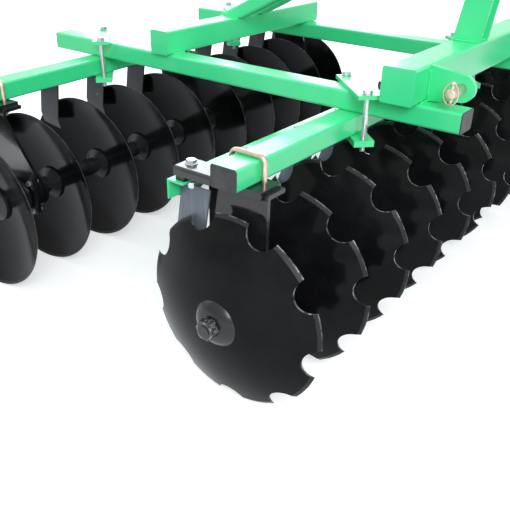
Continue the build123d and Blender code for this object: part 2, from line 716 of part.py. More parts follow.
def build_hitch():
    """Headstock: cross tube, cheeks with the lower link pins, mast, and braces to the rear."""
    square_tube("headstock_tube", HEAD_X, HEAD_LEN, HEAD_TUBE, HEAD_WALL, MAIN_TOP)
    square_tube("rear_cross_tube", REAR_TUBE_X, REAR_TUBE_LEN, REAR_TUBE, BEAM_WALL, MAIN_TOP)
    pin_z = MAIN_TOP + HEAD_TUBE / 2
    front_face = HEAD_X + HEAD_TUBE / 2
    for name, side in (("right", -1), ("left", 1)):
        outer = side * PIN_SHOULDER_Y
        plane = Plane(
            origin=FRONT.from_local_coords((0, max(outer, outer - side * CHEEK_T), 0)),
            x_dir=(1, 0, 0),
            z_dir=(0, -1, 0),
        )
        with BuildPart() as cheek:
            with BuildSketch(plane):
                with BuildLine():
                    Polyline(
                        (PIN_X, pin_z + CHEEK_R),
                        (front_face, pin_z + HEAD_TUBE / 2),
                        (front_face, pin_z - HEAD_TUBE / 2),
                        (PIN_X, pin_z - CHEEK_R),
                    )
                    ThreePointArc(
                        (PIN_X, pin_z - CHEEK_R),
                        (PIN_X + CHEEK_R, pin_z),
                        (PIN_X, pin_z + CHEEK_R),
                    )
                make_face()
                with Locations((PIN_X, pin_z)):
                    Circle(PIN_NECK_R + AXLE_FIT / 4, mode=Mode.SUBTRACT)
            extrude(amount=CHEEK_T)
        save(cheek, f"{name}_hitch_cheek")
        out = Plane(
            origin=FRONT.from_local_coords((PIN_X, outer, pin_z)),
            x_dir=(1, 0, 0),
            z_dir=(0, side, 0),
        )
        with BuildPart() as pin:
            with BuildSketch(out.offset(PIN_RELIEF)):
                Circle(PIN_R)
            extrude(amount=PIN_OUT - PIN_RELIEF)
            chamfer(pin.edges().group_by(Axis.Y)[-1 if side > 0 else 0], PIN_CHAMFER)
            with BuildSketch(out.offset(PIN_RELIEF)):
                Circle(PIN_NECK_R)
            extrude(amount=-PIN_RELIEF - CHEEK_T)
            with BuildSketch(out.offset(-CHEEK_T)):
                RegularPolygon(PIN_HEAD_R, 6)
            extrude(amount=-PIN_HEAD)
        save(pin, f"{name}_link_pin")
    build_mast(pin_z)


def build_mast(pin_z):
    """Two mast plates with the top link bore, and the two braces behind them."""
    head_z = pin_z + MAST_HEIGHT
    foot_z = MAIN_TOP + HEAD_TUBE
    for name, side in (("right", -1), ("left", 1)):
        inner = side * MAST_GAP / 2
        plane = Plane(
            origin=FRONT.from_local_coords((0, max(inner, inner + side * MAST_T), 0)),
            x_dir=(1, 0, 0),
            z_dir=(0, -1, 0),
        )
        lean = atan2(MAST_X - HEAD_X, head_z - foot_z)
        with BuildPart() as plate:
            with BuildSketch(plane):
                with BuildLine():
                    Polyline(
                        (HEAD_X - MAST_FOOT / 2, foot_z),
                        (HEAD_X + MAST_FOOT / 2, foot_z),
                        (MAST_X + MAST_HEAD_R * cos(lean), head_z - MAST_HEAD_R * sin(lean)),
                    )
                    ThreePointArc(
                        (MAST_X + MAST_HEAD_R * cos(lean), head_z - MAST_HEAD_R * sin(lean)),
                        (MAST_X + MAST_HEAD_R * sin(lean), head_z + MAST_HEAD_R * cos(lean)),
                        (MAST_X - MAST_HEAD_R * cos(lean), head_z + MAST_HEAD_R * sin(lean)),
                    )
                    Line(
                        (MAST_X - MAST_HEAD_R * cos(lean), head_z + MAST_HEAD_R * sin(lean)),
                        (HEAD_X - MAST_FOOT / 2, foot_z),
                    )
                make_face()
                with Locations((MAST_X, head_z)):
                    Circle(TOP_BORE_R, mode=Mode.SUBTRACT)
            extrude(amount=MAST_T)
        save(plate, f"{name}_mast_plate")
        build_brace(name, side, head_z)


def build_brace(name, side, head_z):
    """A square tube flat against a mast plate, from its head down to the rear cross tube."""
    across = side * (MAST_GAP / 2 + MAST_T + BRACE / 2)
    top = Vector(*FRONT.from_local_coords((MAST_X, across, head_z - BRACE_DROP)))
    low = Vector(*FRONT.from_local_coords((REAR_TUBE_X, across, MAIN_TOP + REAR_TUBE)))
    run = low - top
    section = Plane(origin=top, x_dir=Vector(0, 0, 1).cross(run), z_dir=run)
    with BuildPart() as brace:
        with BuildSketch(section):
            tube_section(BRACE, BRACE, BRACE_WALL)
        extrude(amount=run.length + 2 * BRACE)
        with BuildSketch(frame_plane(REAR_TUBE_X, 0, MAIN_TOP + REAR_TUBE)):
            Rectangle(6 * REAR_TUBE, 2 * MAIN_Y)
        extrude(amount=-3 * REAR_TUBE, mode=Mode.SUBTRACT)
    save(brace, f"{name}_mast_brace")


# ---- the whole machine --------------------------------------------------------------------
def front_crossing(y):
    """Where the middle of the front gang beam passes under a main beam at y."""
    return BEAM_X


def rear_crossing(y):
    """The same for the rear gang beam."""
    return BEAM_X / cos(radians(REAR_ANGLE)) - AXLE_SETBACK - y * tan(radians(REAR_ANGLE))


for gang, turns, crossing in zip(GANGS, (NOTCH_TURNS, None), (front_crossing, rear_crossing)):
    build_discs(gang, turns)
    build_axle(gang)
    build_ends(gang)
    build_spools(gang)
    build_housings(gang)
    build_hangers(gang)
    build_gang_beam(gang)
    build_scraper_frame(gang)
    build_scrapers(gang)
    build_clamps(gang, crossing)

build_main_beams()
build_hitch()
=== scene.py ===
"""A mounted offset disc harrow: its finishes, its fasteners and welds, and a plain studio."""
import json
import logging
from collections.abc import Iterable, Mapping, Sequence
from dataclasses import dataclass
from enum import Enum
from typing import Any

import bmesh
import bpy
import numpy as np
from mathutils import Matrix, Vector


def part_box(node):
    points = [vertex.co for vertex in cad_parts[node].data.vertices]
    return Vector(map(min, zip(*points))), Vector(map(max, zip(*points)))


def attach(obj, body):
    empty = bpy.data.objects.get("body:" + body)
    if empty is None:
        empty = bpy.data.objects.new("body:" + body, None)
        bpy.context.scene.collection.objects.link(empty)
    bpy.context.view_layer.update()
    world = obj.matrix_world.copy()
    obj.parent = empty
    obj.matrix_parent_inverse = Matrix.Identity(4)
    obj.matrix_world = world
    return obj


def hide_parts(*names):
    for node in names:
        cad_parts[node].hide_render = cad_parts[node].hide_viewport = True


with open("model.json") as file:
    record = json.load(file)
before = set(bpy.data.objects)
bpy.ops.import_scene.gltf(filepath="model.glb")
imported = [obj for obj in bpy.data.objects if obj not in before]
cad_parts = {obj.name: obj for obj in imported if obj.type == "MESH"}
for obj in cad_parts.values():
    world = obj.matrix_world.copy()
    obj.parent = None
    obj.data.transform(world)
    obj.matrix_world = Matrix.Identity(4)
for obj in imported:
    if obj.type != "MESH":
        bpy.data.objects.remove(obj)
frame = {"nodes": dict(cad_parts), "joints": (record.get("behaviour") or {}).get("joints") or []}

Array = np.ndarray
Colour = tuple[float, float, float]
Socket = bpy.types.NodeSocket

log = logging.getLogger("disc harrow")
UP = np.array((0.0, 0.0, 1.0))
UPRIGHT = np.eye(3)
HUNG = np.array((1, -1, -1))[:, None]       # turns upright axes upside down
MM = 0.001


class Body(Enum):
    """The bodies of the frame that pieces ride on."""

    FRAME = "frame"
    FRONT_GANG = "front_gang"
    REAR_GANG = "rear_gang"


class Slot(Enum):
    """The material slots of the record."""

    GREEN = "green_paint"
    GLOSS_BLACK = "gloss_black"
    CAST_BLACK = "cast_black"
    SCRAPER = "scraper_steel"
    GALVANISED = "galvanised"
    YELLOW_ZINC = "yellow_zinc"
    PLASTIC = "black_plastic"


def in_scene(name: str, data: Any) -> bpy.types.Object:
    """Put new data in the scene, as an object at the origin.

    Args:
        name: the object's name.
        data: its mesh, lamp or camera.
    Returns:
        The object.
    """
    made = bpy.data.objects.new(name, data)
    bpy.context.scene.collection.objects.link(made)
    return made


# ---- surfaces ---------------------------------------------------------------------------


@dataclass
class Surface:
    """Corner points and four-sided faces of one or more closed surfaces."""

    points: Array
    faces: Array

    @staticmethod
    def joined(parts: Iterable["Surface"]) -> "Surface":
        """Put several surfaces into one.

        Args:
            parts: the surfaces.
        Returns:
            One surface that holds them all.
        """
        held = list(parts)
        starts = np.cumsum([0] + [len(part.points) for part in held[:-1]])
        return Surface(
            np.concatenate([part.points for part in held]),
            np.concatenate([part.faces + start for part, start in zip(held, starts)]),
        )

    def placed(self, origins: Array, axes: Array) -> "Surface":
        """Copy the surface to many places: point = origin + x * axis_x + y * axis_y + z * axis_z.

        Args:
            origins: one place a row, (n, 3).
            axes: the three axes of each place as rows, (n, 3, 3), or (3, 3) for all of them.
        Returns:
            One surface with a copy at each place.
        """
        axes = np.broadcast_to(axes, (len(origins), 3, 3))
        moved = np.einsum("pk,nkc->npc", self.points, axes) + origins[:, None, :]
        steps = np.arange(len(origins))[:, None, None] * len(self.points)
        return Surface(moved.reshape(-1, 3), (self.faces[None] + steps).reshape(-1, 4))

    def piece(self, name: str, sharp_deg: float) -> bpy.types.Object:
        """Make the surface a Blender object, smooth but for its sharp edges.

        Args:
            name: the object's name.
            sharp_deg: edges that turn more than this stay sharp.
        Returns:
            The object, at the origin.
        """
        mesh = bpy.data.meshes.new(name)
        mesh.from_pydata(self.points.tolist(), [], self.faces.tolist())
        mesh.validate()
        made = in_scene(name, mesh)
        tidy = bmesh.new()
        tidy.from_mesh(mesh)
        bmesh.ops.remove_doubles(tidy, verts=tidy.verts, dist=1e-6)
        bmesh.ops.recalc_face_normals(tidy, faces=tidy.faces)
        tidy.to_mesh(mesh)
        tidy.free()
        mesh.shade_smooth()
        mesh.set_sharp_from_angle(angle=np.radians(sharp_deg))
        return made


def grid_faces(rows: int, columns: int, closed: bool) -> Array:
    """Faces of a grid of points, row by row.

    Args:
        rows: rows of points.
        columns: points in a row.
        closed: whether the last column joins the first.
    Returns:
        The faces, (n, 4).
    """
    row, column = np.meshgrid(
        np.arange(rows - 1), np.arange(columns if closed else columns - 1), indexing="ij"
    )
    after = (column + 1) % columns
    corners = (row * columns + column, row * columns + after,
               (row + 1) * columns + after, (row + 1) * columns + column)
    return np.stack(corners, axis=-1).reshape(-1, 4)


def turned(profile: Sequence[tuple[float, float]], columns: int = 24) -> Surface:
    """A turned form: (r cos u, r sin u, z) for each (r, z) of a profile and angle u.

    Args:
        profile: (radius, height) pairs; it starts and ends on the axis.
        columns: points round the axis.
    Returns:
        The closed surface about +Z.
    """
    radius, height = np.array(profile).T
    angle = np.linspace(0, 2 * np.pi, columns, endpoint=False)
    points = np.stack(
        (np.outer(radius, np.cos(angle)), np.outer(radius, np.sin(angle)),
         np.repeat(height[:, None], columns, axis=1)), axis=-1)
    return Surface(points.reshape(-1, 3), grid_faces(len(radius), columns, True))


def hexagon(flats: float, height: float, bore: float, columns: int = 48) -> Surface:
    """A hexagonal nut or head with a crowned top.

    The wall's radius at angle u is a / cos(w), where a is half the width across flats and w is
    the angle from the nearest flat. The crown's edge drops by (radius - a) tan 30 from the top.

    Args:
        flats: width across flats.
        height: thickness.
        bore: radius of the dimple or hole in the top.
        columns: points round the axis.
    Returns:
        The closed surface, standing on z = 0 about +Z.
    """
    angle = np.linspace(0, 2 * np.pi, columns, endpoint=False)
    half = flats / 2
    foot, crown, dimple, sunk = 0.97, 0.95, 0.9, 0.4 * MM     # shares of a radius, and a depth
    wall = half / np.cos((angle + np.pi / 6) % (np.pi / 3) - np.pi / 6)
    drop = (wall - half) * np.tan(np.radians(30))
    level = np.ones(columns)
    rows = (
        (0 * level, 0 * level),
        (half * foot * level, 0 * level),
        (wall, drop),
        (wall, height - drop),
        (half * crown * level, height * level),
        (bore * level, height * level),
        (bore * dimple * level, (height - sunk) * level),
        (0 * level, (height - sunk) * level),
    )
    points = [np.stack((r * np.cos(angle), r * np.sin(angle), z), axis=-1) for r, z in rows]
    return Surface(np.concatenate(points), grid_faces(len(rows), columns, True))


def thread(radius: float, length: float, pitch: float, columns: int = 14) -> Surface:
    """A threaded stem: radius - depth * (1 - cos(2 pi z / pitch - u)) / 2, tapered at its tip.

    Args:
        radius: over the crests.
        length: of the stem along +Z.
        pitch: from crest to crest.
        columns: points round the axis.
    Returns:
        The closed surface from z = 0 to z = length.
    """
    rows_a_turn, depth, lead = 6, 0.55 * pitch, 0.8 * pitch
    rows = int(length / pitch * rows_a_turn) + 2
    height = np.linspace(0, length, rows)[:, None]
    angle = np.linspace(0, 2 * np.pi, columns, endpoint=False)[None, :]
    groove = depth * (1 - np.cos(2 * np.pi * height / pitch - angle)) / 2
    tip = np.clip((height - length + pitch) / pitch, 0, 1) * lead
    wall = radius - np.maximum(groove, tip)
    wall[[0, -1]] = 0.0
    points = np.stack((wall * np.cos(angle), wall * np.sin(angle), height + 0 * angle), axis=-1)
    return Surface(points.reshape(-1, 3), grid_faces(rows, columns, True))


def rod_along(path: Array, radius: Array | float, side: Array, columns: int = 16) -> Surface:
    """A round rod: path + radius * (cos u * side + sin u * (tangent x side)).

    Args:
        path: points of the centre line, (n, 3).
        radius: one radius, or one for each point.
        side: a unit vector square to the whole path.
        columns: points round the rod.
    Returns:
        The closed surface, its ends drawn in to a point.
    """
    tangent = np.gradient(path, axis=0)
    tangent /= np.linalg.norm(tangent, axis=1, keepdims=True)
    across = np.cross(tangent, side)
    angle = np.linspace(0, 2 * np.pi, columns, endpoint=False)
    thick = np.broadcast_to(radius, (len(path),)).copy()
    ring = (np.cos(angle)[None, :, None] * side
            + np.sin(angle)[None, :, None] * across[:, None, :])
    path = np.concatenate((path[:1], path, path[-1:]))
    ring = np.concatenate((ring[:1], ring, ring[-1:]))
    thick = np.concatenate(([0.0], thick, [0.0]))
    points = path[:, None, :] + thick[:, None, None] * ring
    return Surface(points.reshape(-1, 3), grid_faces(len(path), columns, True))


def bead_along(start: Array, end: Array, first: Array, second: Array, leg: float) -> Surface:
    """A fillet weld between two faces, with a ripple for each pass.

    Point = corner + leg * s * r * f * (cos t * first + sin t * second), where
    r = 1 + 0.1 cos(2 pi d / pitch - 2 sin 2t), f = (0.82 + 0.18 cos(4t - pi)) / 0.95 flattens
    the face, d is the way along the seam, and s falls to nothing at both ends.

    Args:
        start: one end of the corner.
        end: the other end.
        first: unit vector from the corner along one face.
        second: unit vector from the corner along the other face.
        leg: width of the bead on each face.
    Returns:
        The closed bead, its back sunk into the corner.
    """
    length = float(np.linalg.norm(end - start))
    pitch, rows_a_ripple, fewest_rows, sunk = 3.2 * MM, 4, 12, 0.3
    rows = max(int(length / pitch * rows_a_ripple), fewest_rows)
    way = np.linspace(0, length, rows)[:, None]
    turn = np.linspace(0, np.pi / 2, 7)[None, :]
    ripple = 1 + 0.10 * np.cos(2 * np.pi * way / pitch - 2 * np.sin(2 * turn))
    ends = np.sqrt(np.clip(np.minimum(way, length - way) / leg, 0, 1))
    size = leg * ends * ripple * (0.82 + 0.18 * np.cos(4 * turn - np.pi)) / 0.95
    corner = start + (end - start) * way / length
    out = (np.cos(turn)[..., None] * first + np.sin(turn)[..., None] * second)
    skin = corner[:, None, :] + size[..., None] * out
    back = corner[:, None, :] - sunk * leg * ends[..., None] * (first + second)
    points = np.concatenate((skin, back), axis=1)
    return Surface(points.reshape(-1, 3), grid_faces(rows, points.shape[1], True))


def node_points(node: str) -> Array:
    """The corner points of a CAD node, (n, 3)."""
    mesh = frame["nodes"][node].data
    flat = np.empty(len(mesh.vertices) * 3, np.float32)
    mesh.vertices.foreach_get("co", flat)
    return flat.reshape(-1, 3).astype(float)


@dataclass(frozen=True)
class GangPlace:
    """Where a gang's axle lies, by its joint: ahead is level, and square to along, the axle."""

    name: str
    joint: str

    @property
    def origin(self) -> Array:
        """A point of the axle's centre line, at ground level."""
        place = np.array(self._joint()["pos_m"], float)
        return place * (1, 1, 0)

    @property
    def along(self) -> Array:
        """Unit vector along the axle, towards the machine's left."""
        axis = np.array(self._joint()["axis"], float)
        return axis / np.linalg.norm(axis)

    @property
    def ahead(self) -> Array:
        """Unit vector forwards, square to the axle."""
        return np.cross(self.along, UP)

    @property
    def axle_height(self) -> float:
        """Height of the axle above the ground."""
        return float(self._joint()["pos_m"][2])

    def _joint(self) -> Mapping[str, Any]:
        """The joint's entry in the record."""
        return next(j for j in frame["joints"] if j["name"] == self.joint)

    def at(self, ahead: Array | float, along: Array | float, height: Array | float) -> Array:
        """Points of the row frame from places in the gang's own frame."""
        ahead, along, height = np.broadcast_arrays(ahead, along, height)
        return (self.origin + ahead[..., None] * self.ahead + along[..., None] * self.along
                + height[..., None] * UP)

    def axes(self, down: bool = False) -> Array:
        """Axes for copies that stand upright, or hang where down is set, (3, 3)."""
        upright = np.stack((self.ahead, self.along, UP))
        return upright * HUNG if down else upright

    def node(self, part: str) -> str:
        """The CAD node of this gang with that name."""
        return f"{self.name}_{part}"

    def boxes(self, part: str) -> Array:
        """Boxes of the solids of one of this gang's nodes, in the gang's own frame."""
        return solid_boxes(self.node(part), self)


# ---- shader graphs ----------------------------------------------------------------------


class Graph:
    """Adds nodes to one node tree and joins their sockets."""

    def __init__(self, tree: bpy.types.NodeTree) -> None:
        """Keep the tree that nodes are added to."""
        self.tree = tree

    @staticmethod
    def emptied(owner: bpy.types.Material | bpy.types.World) -> "Graph":
        """The graph of a new material or world, cleared of its first nodes."""
        owner.use_nodes = True
        owner.node_tree.nodes.clear()
        return Graph(owner.node_tree)

    def add(self, kind: str, inputs: Mapping[str | int, Any] | None = None, **settings: Any) -> Any:
        """Add a node.

        Args:
            kind: the node's type.
            inputs: a value or a socket to join, by the input's name or number.
            settings: the node's own settings.
        Returns:
            The node.
        """
        made = self.tree.nodes.new(kind)
        for name, value in settings.items():
            setattr(made, name, value)
        for name, value in (inputs or {}).items():
            if isinstance(value, bpy.types.NodeSocket):
                self.tree.links.new(value, made.inputs[name])
            else:
                made.inputs[name].default_value = value
        return made

    def math(self, operation: str, *values: Any, clamp: bool = False) -> Socket:
        """One step of arithmetic on values or sockets."""
        made = self.add("ShaderNodeMath", dict(enumerate(values)), operation=operation,
                        use_clamp=clamp)
        return made.outputs[0]

    def vector(self, operation: str, *values: Any, out: str = "Vector") -> Socket:
        """One step of vector arithmetic."""
        made = self.add("ShaderNodeVectorMath", dict(enumerate(values)), operation=operation)
        return made.outputs[out]

    def band(self, value: Any, low: float, high: float, floor: Any = 0.0, top: Any = 1.0) -> Socket:
        """Smooth step of a value from low to high, giving floor to top."""
        made = self.add("ShaderNodeMapRange", {
            "Value": value, "From Min": low, "From Max": high, "To Min": floor, "To Max": top,
        }, interpolation_type="SMOOTHSTEP")
        return made.outputs["Result"]

    def noise(self, coords: Any, scale: Any, detail: float = 4.0, rough: float = 0.55,
              warp: float = 0.0) -> Socket:
        """Cloudy noise from 0 to 1."""
        made = self.add("ShaderNodeTexNoise", {
            "Vector": coords, "Scale": scale, "Detail": detail, "Roughness": rough,
            "Distortion": warp,
        })
        return made.outputs["Fac"]

    def mix(self, factor: Any, first: Any, second: Any) -> Socket:
        """Blend of two colours."""
        made = self.add("ShaderNodeMix", {0: factor, 6: _shade(first), 7: _shade(second)},
                        data_type="RGBA")
        return made.outputs[2]

    def blend(self, first: Any, second: Any, mask: Socket, strength: float) -> Socket:
        """Blend from the first colour to the second by a mask times a strength."""
        return self.mix(self.math("MULTIPLY", mask, strength), first, second)

    def total(self, start: Any, *terms: tuple[Any, float], clamp: bool = False) -> Any:
        """A start plus each value times its weight."""
        for value, weight in terms:
            start = self.math("MULTIPLY_ADD", value, weight, start, clamp=clamp)
        return start

    def stretched(self, coords: Any, scale: Colour, turn_deg: Colour = (0.0, 0.0, 0.0)) -> Socket:
        """Coordinates turned and stretched."""
        made = self.add("ShaderNodeMapping", {
            "Vector": coords, "Scale": scale, "Rotation": tuple(np.radians(turn_deg)),
        })
        return made.outputs["Vector"]


def _shade(value: Any) -> Any:
    """A colour of three numbers with its alpha added, or a socket as it is."""
    return value if isinstance(value, bpy.types.NodeSocket) else (*value, 1.0)


class Effect:
    """A node group built once and placed in many materials."""

    built: dict[str, bpy.types.NodeTree] = {}

    def __init__(self, name: str, inputs: Mapping[str, float | None],
                 outputs: Sequence[str]) -> None:
        """Name the group and its sockets.

        Args:
            name: the group's name.
            inputs: each number's default, or None for a vector.
            outputs: the masks that it gives.
        """
        self.name = name
        self.tree = bpy.data.node_groups.new(name, "ShaderNodeTree")
        number = "NodeSocketFloat"
        for label, value in inputs.items():
            kind = "NodeSocketVector" if value is None else number
            made = self.tree.interface.new_socket(name=label, in_out="INPUT", socket_type=kind)
            if value is not None:
                made.default_value = value
        for label in outputs:
            self.tree.interface.new_socket(name=label, in_out="OUTPUT", socket_type=number)
        self.graph = Graph(self.tree)
        self.inputs = self.graph.add("NodeGroupInput").outputs
        self.ends = self.graph.add("NodeGroupOutput").inputs

    def end(self, label: str, value: Socket) -> None:
        """Join a value to one of the group's outputs."""
        self.tree.links.new(value, self.ends[label])

    def finish(self) -> None:
        """Keep the group for the materials."""
        Effect.built[self.name] = self.tree


def place_effect(graph: Graph, name: str, inputs: Mapping[str, Any]) -> Any:
    """Place a finished effect in a material.

    Args:
        graph: the material's graph.
        name: the effect's name.
        inputs: its values or sockets by name.
    Returns:
        The outputs of the placed group.
    """
    return graph.add("ShaderNodeGroup", inputs, node_tree=Effect.built[name]).outputs


def build_mottle() -> None:
    """Broad patches, a fine grain and a gentle ripple, each from 0 to 1."""
    mottle = Effect("mottle", {"Coordinates": None, "Patch Scale": 6.0, "Grain Scale": 220.0},
                    ("Patches", "Grain", "Ripple"))
    graph, given = mottle.graph, mottle.inputs
    broad = graph.noise(given["Coordinates"], given["Patch Scale"], 5.0, 0.6, 0.4)
    mottle.end("Patches", graph.band(broad, 0.36, 0.66))
    mottle.end("Grain", graph.noise(given["Coordinates"], given["Grain Scale"], 3.0, 0.6))
    ripple = graph.math("MULTIPLY", given["Grain Scale"], 0.22)
    mottle.end("Ripple", graph.noise(given["Coordinates"], ripple, 2.0, 0.5))
    mottle.finish()


def build_scuffs() -> None:
    """Straight hair scratches in two directions, in patches, and small chips."""
    scuffs = Effect("scuffs", {"Coordinates": None, "Scale": 30.0, "Amount": 0.5},
                    ("Lines", "Chips"))
    graph, given = scuffs.graph, scuffs.inputs
    lines = None
    for turn, stretch in (((20, 35, 10), (0.2, 9.0, 0.2)), ((-50, 15, 70), (0.15, 0.15, 11.0))):
        coords = graph.stretched(given["Coordinates"], stretch, turn)
        streak = graph.noise(coords, given["Scale"], 0.0, 0.0, 0.0)
        narrow = graph.band(graph.math("ABSOLUTE", graph.math("SUBTRACT", streak, 0.5)), 0.006, 0.0)
        lines = narrow if lines is None else graph.math("MAXIMUM", lines, narrow)
    patch = graph.band(graph.noise(given["Coordinates"], 16.0, 2.0), 0.58, 0.70)
    lines = graph.math("MULTIPLY", lines, patch)
    scuffs.end("Lines", graph.math("MULTIPLY", lines, given["Amount"], clamp=True))
    fine = graph.math("MULTIPLY", given["Scale"], 3.0)
    spots = graph.noise(given["Coordinates"], fine, 5.0, 0.65)
    level = graph.math("SUBTRACT", 0.83, graph.math("MULTIPLY", given["Amount"], 0.12))
    scuffs.end("Chips", graph.band(graph.math("SUBTRACT", spots, level), 0.0, 0.02))
    scuffs.finish()


def build_dust() -> None:
    """A cloudy film that is thickest where a face looks up."""
    dust = Effect("dust", {"Coordinates": None, "Amount": 0.3}, ("Film",))
    graph, given = dust.graph, dust.inputs
    normal = graph.add("ShaderNodeTexCoord").outputs["Normal"]
    level = graph.add("ShaderNodeSeparateXYZ", {0: normal}).outputs["Z"]
    facing = graph.band(level, -0.2, 1.0, 0.15, 1.0)
    cloud = graph.noise(given["Coordinates"], 9.0, 7.0, 0.68, 0.3)
    film = graph.math("MULTIPLY", graph.band(cloud, 0.3, 0.75), facing)
    dust.end("Film", graph.math("MULTIPLY", film, given["Amount"], clamp=True))
    dust.finish()


def build_axle_distance() -> None:
    """How far a point is from an axle, and how squarely its face looks along it."""
    axle = Effect("axle distance", {"Coordinates": None, "Axle Point": None, "Axle Line": None},
                  ("Radius", "Side Face"))
    graph, given = axle.graph, axle.inputs
    arm = graph.vector("SUBTRACT", given["Coordinates"], given["Axle Point"])
    crossed = graph.vector("CROSS_PRODUCT", arm, given["Axle Line"])
    axle.end("Radius", graph.vector("LENGTH", crossed, out="Value"))
    normal = graph.add("ShaderNodeTexCoord").outputs["Normal"]
    axle.end("Side Face", graph.vector("DOT_PRODUCT", normal, given["Axle Line"], out="Value"))
    axle.finish()


def build_brushing() -> None:
    """Fine streaks that run down a blade, and broad stains."""
    brushing = Effect("brushing", {"Coordinates": None, "Scale": 90.0}, ("Streaks", "Stains"))
    graph, given = brushing.graph, brushing.inputs
    fine = graph.stretched(given["Coordinates"], (1.0, 1.0, 0.04), (0, 9.5, 0))
    brushing.end("Streaks", graph.noise(fine, given["Scale"], 4.0, 0.7))
    brushing.end("Stains", graph.noise(given["Coordinates"], 14.0, 6.0, 0.62, 0.5))
    brushing.finish()


def build_effects() -> None:
    """Build every shared effect, before the first material needs one."""
    for build in (build_mottle, build_scuffs, build_dust, build_axle_distance, build_brushing):
        build()


def mottled(graph: Graph, coords: Socket, patches: float, grain: float) -> Any:
    """Place the mottle effect by the scales of its patches and its grain."""
    return place_effect(graph, "mottle", {
        "Coordinates": coords, "Patch Scale": patches, "Grain Scale": grain})


def scuffed(graph: Graph, coords: Socket, scale: float, amount: float) -> Any:
    """Place the scuffs effect by its scale and amount."""
    return place_effect(graph, "scuffs", {"Coordinates": coords, "Scale": scale, "Amount": amount})


def dusted(graph: Graph, coords: Socket, amount: float) -> Socket:
    """Place the dust effect and give its film."""
    return place_effect(graph, "dust", {"Coordinates": coords, "Amount": amount})["Film"]


def from_axle(graph: Graph, coords: Socket, point: Colour, line: Colour) -> Any:
    """Place the axle distance effect for the axle through a point along a line."""
    return place_effect(graph, "axle distance", {
        "Coordinates": coords, "Axle Point": point, "Axle Line": line})


# ---- finishes ---------------------------------------------------------------------------


@dataclass(frozen=True)
class Finish:
    """What every finish shares: a name, a record slot, and a material made from its graph."""

    name: str
    slot: Slot

    def material(self) -> bpy.types.Material:
        """Make the material, or give the one that is made already."""
        held = bpy.data.materials.get(self.name)
        if held is not None:
            return held
        made = bpy.data.materials.new(self.name)
        graph = Graph.emptied(made)
        coords = graph.add("ShaderNodeTexCoord").outputs["Object"]
        shader = graph.add("ShaderNodeBsdfPrincipled", self.sockets(graph, coords))
        graph.add("ShaderNodeOutputMaterial", {"Surface": shader.outputs[0]})
        return made

    def sockets(self, graph: Graph, coords: Socket) -> dict[str, Any]:
        """Values and sockets for the shader's inputs, by name."""
        raise NotImplementedError


def bumped(graph: Graph, height: Socket, distance: float, strength: float = 1.0) -> Socket:
    """A bumped normal from a height.

    Args:
        graph: the material's graph.
        height: height from 0 to 1.
        distance: depth of a full step, in metres.
        strength: how much of it shows.
    Returns:
        The normal.
    """
    made = graph.add("ShaderNodeBump", {"Height": height, "Distance": distance,
                                        "Strength": strength})
    return made.outputs["Normal"]


@dataclass(frozen=True)
class GreenPaint(Finish):
    """Gloss enamel on tube: faint ripple, dust on top, hair scratches and a few dark chips."""

    paint: Colour = (0.040, 0.74, 0.285)
    faded: Colour = (0.065, 0.78, 0.330)
    primer: Colour = (0.030, 0.060, 0.045)
    dust: Colour = (0.55, 0.66, 0.58)
    gloss: float = 0.25
    wear: float = 0.35
    dusting: float = 0.12
    coat: float = 0.35
    coat_gloss: float = 0.12
    ripple: float = 0.4 * MM
    relief: float = 0.35

    def sockets(self, graph: Graph, coords: Socket) -> dict[str, Any]:
        """Paint mottled by age, dust where it faces up, chips down to the primer."""
        mottle = mottled(graph, coords, 5.0, 240.0)
        scuffs = scuffed(graph, coords, 26.0, self.wear)
        film = dusted(graph, coords, self.dusting)
        colour = graph.blend(self.paint, self.faded, mottle["Patches"], 0.5)
        colour = graph.mix(film, colour, self.dust)
        colour = graph.blend(colour, self.dust, scuffs["Lines"], 0.35)
        colour = graph.mix(scuffs["Chips"], colour, self.primer)
        rough = graph.total(self.gloss, (mottle["Grain"], 0.10), (film, 0.5),
                            (scuffs["Chips"], 0.4), clamp=True)
        height = graph.math("SUBTRACT", mottle["Ripple"], scuffs["Chips"])
        return {"Base Color": colour, "Roughness": rough, "Coat Weight": self.coat,
                "Coat Roughness": self.coat_gloss,
                "Normal": bumped(graph, height, self.ripple, self.relief)}


@dataclass(frozen=True)
class BlackPaint(Finish):
    """Black enamel on plate or casting, from mirror gloss to dull, with dust and scuffs."""

    paint: Colour = (0.0065, 0.007, 0.008)
    faded: Colour = (0.018, 0.019, 0.021)
    dust: Colour = (0.16, 0.155, 0.145)
    scratch: Colour = (0.2, 0.2, 0.2)
    gloss: float = 0.2
    dusting: float = 0.12
    wear: float = 0.5
    grain: float = 160.0
    pitted: float = 0.6 * MM
    relief: float = 0.25
    coat: float = 0.5
    coat_share: float = 0.4
    specular: float = 0.4

    def sockets(self, graph: Graph, coords: Socket) -> dict[str, Any]:
        """Black mottled by haze, a film of dust, pale hair scratches."""
        mottle = mottled(graph, coords, 7.0, self.grain)
        scuffs = scuffed(graph, coords, 34.0, self.wear)
        film = dusted(graph, coords, self.dusting)
        colour = graph.mix(mottle["Patches"], self.paint, self.faded)
        colour = graph.mix(film, colour, self.dust)
        colour = graph.blend(colour, self.scratch, scuffs["Lines"], 0.5)
        rough = graph.total(self.gloss, (mottle["Patches"], 0.10), (film, 1.2),
                            (scuffs["Lines"], 0.3), clamp=True)
        height = graph.total(mottle["Ripple"], (mottle["Grain"], 0.3))
        return {"Base Color": colour, "Roughness": rough, "Coat Weight": self.coat,
                "Coat Roughness": self.gloss * self.coat_share,
                "Specular IOR Level": self.specular,
                "Normal": bumped(graph, height, self.pitted, self.relief)}


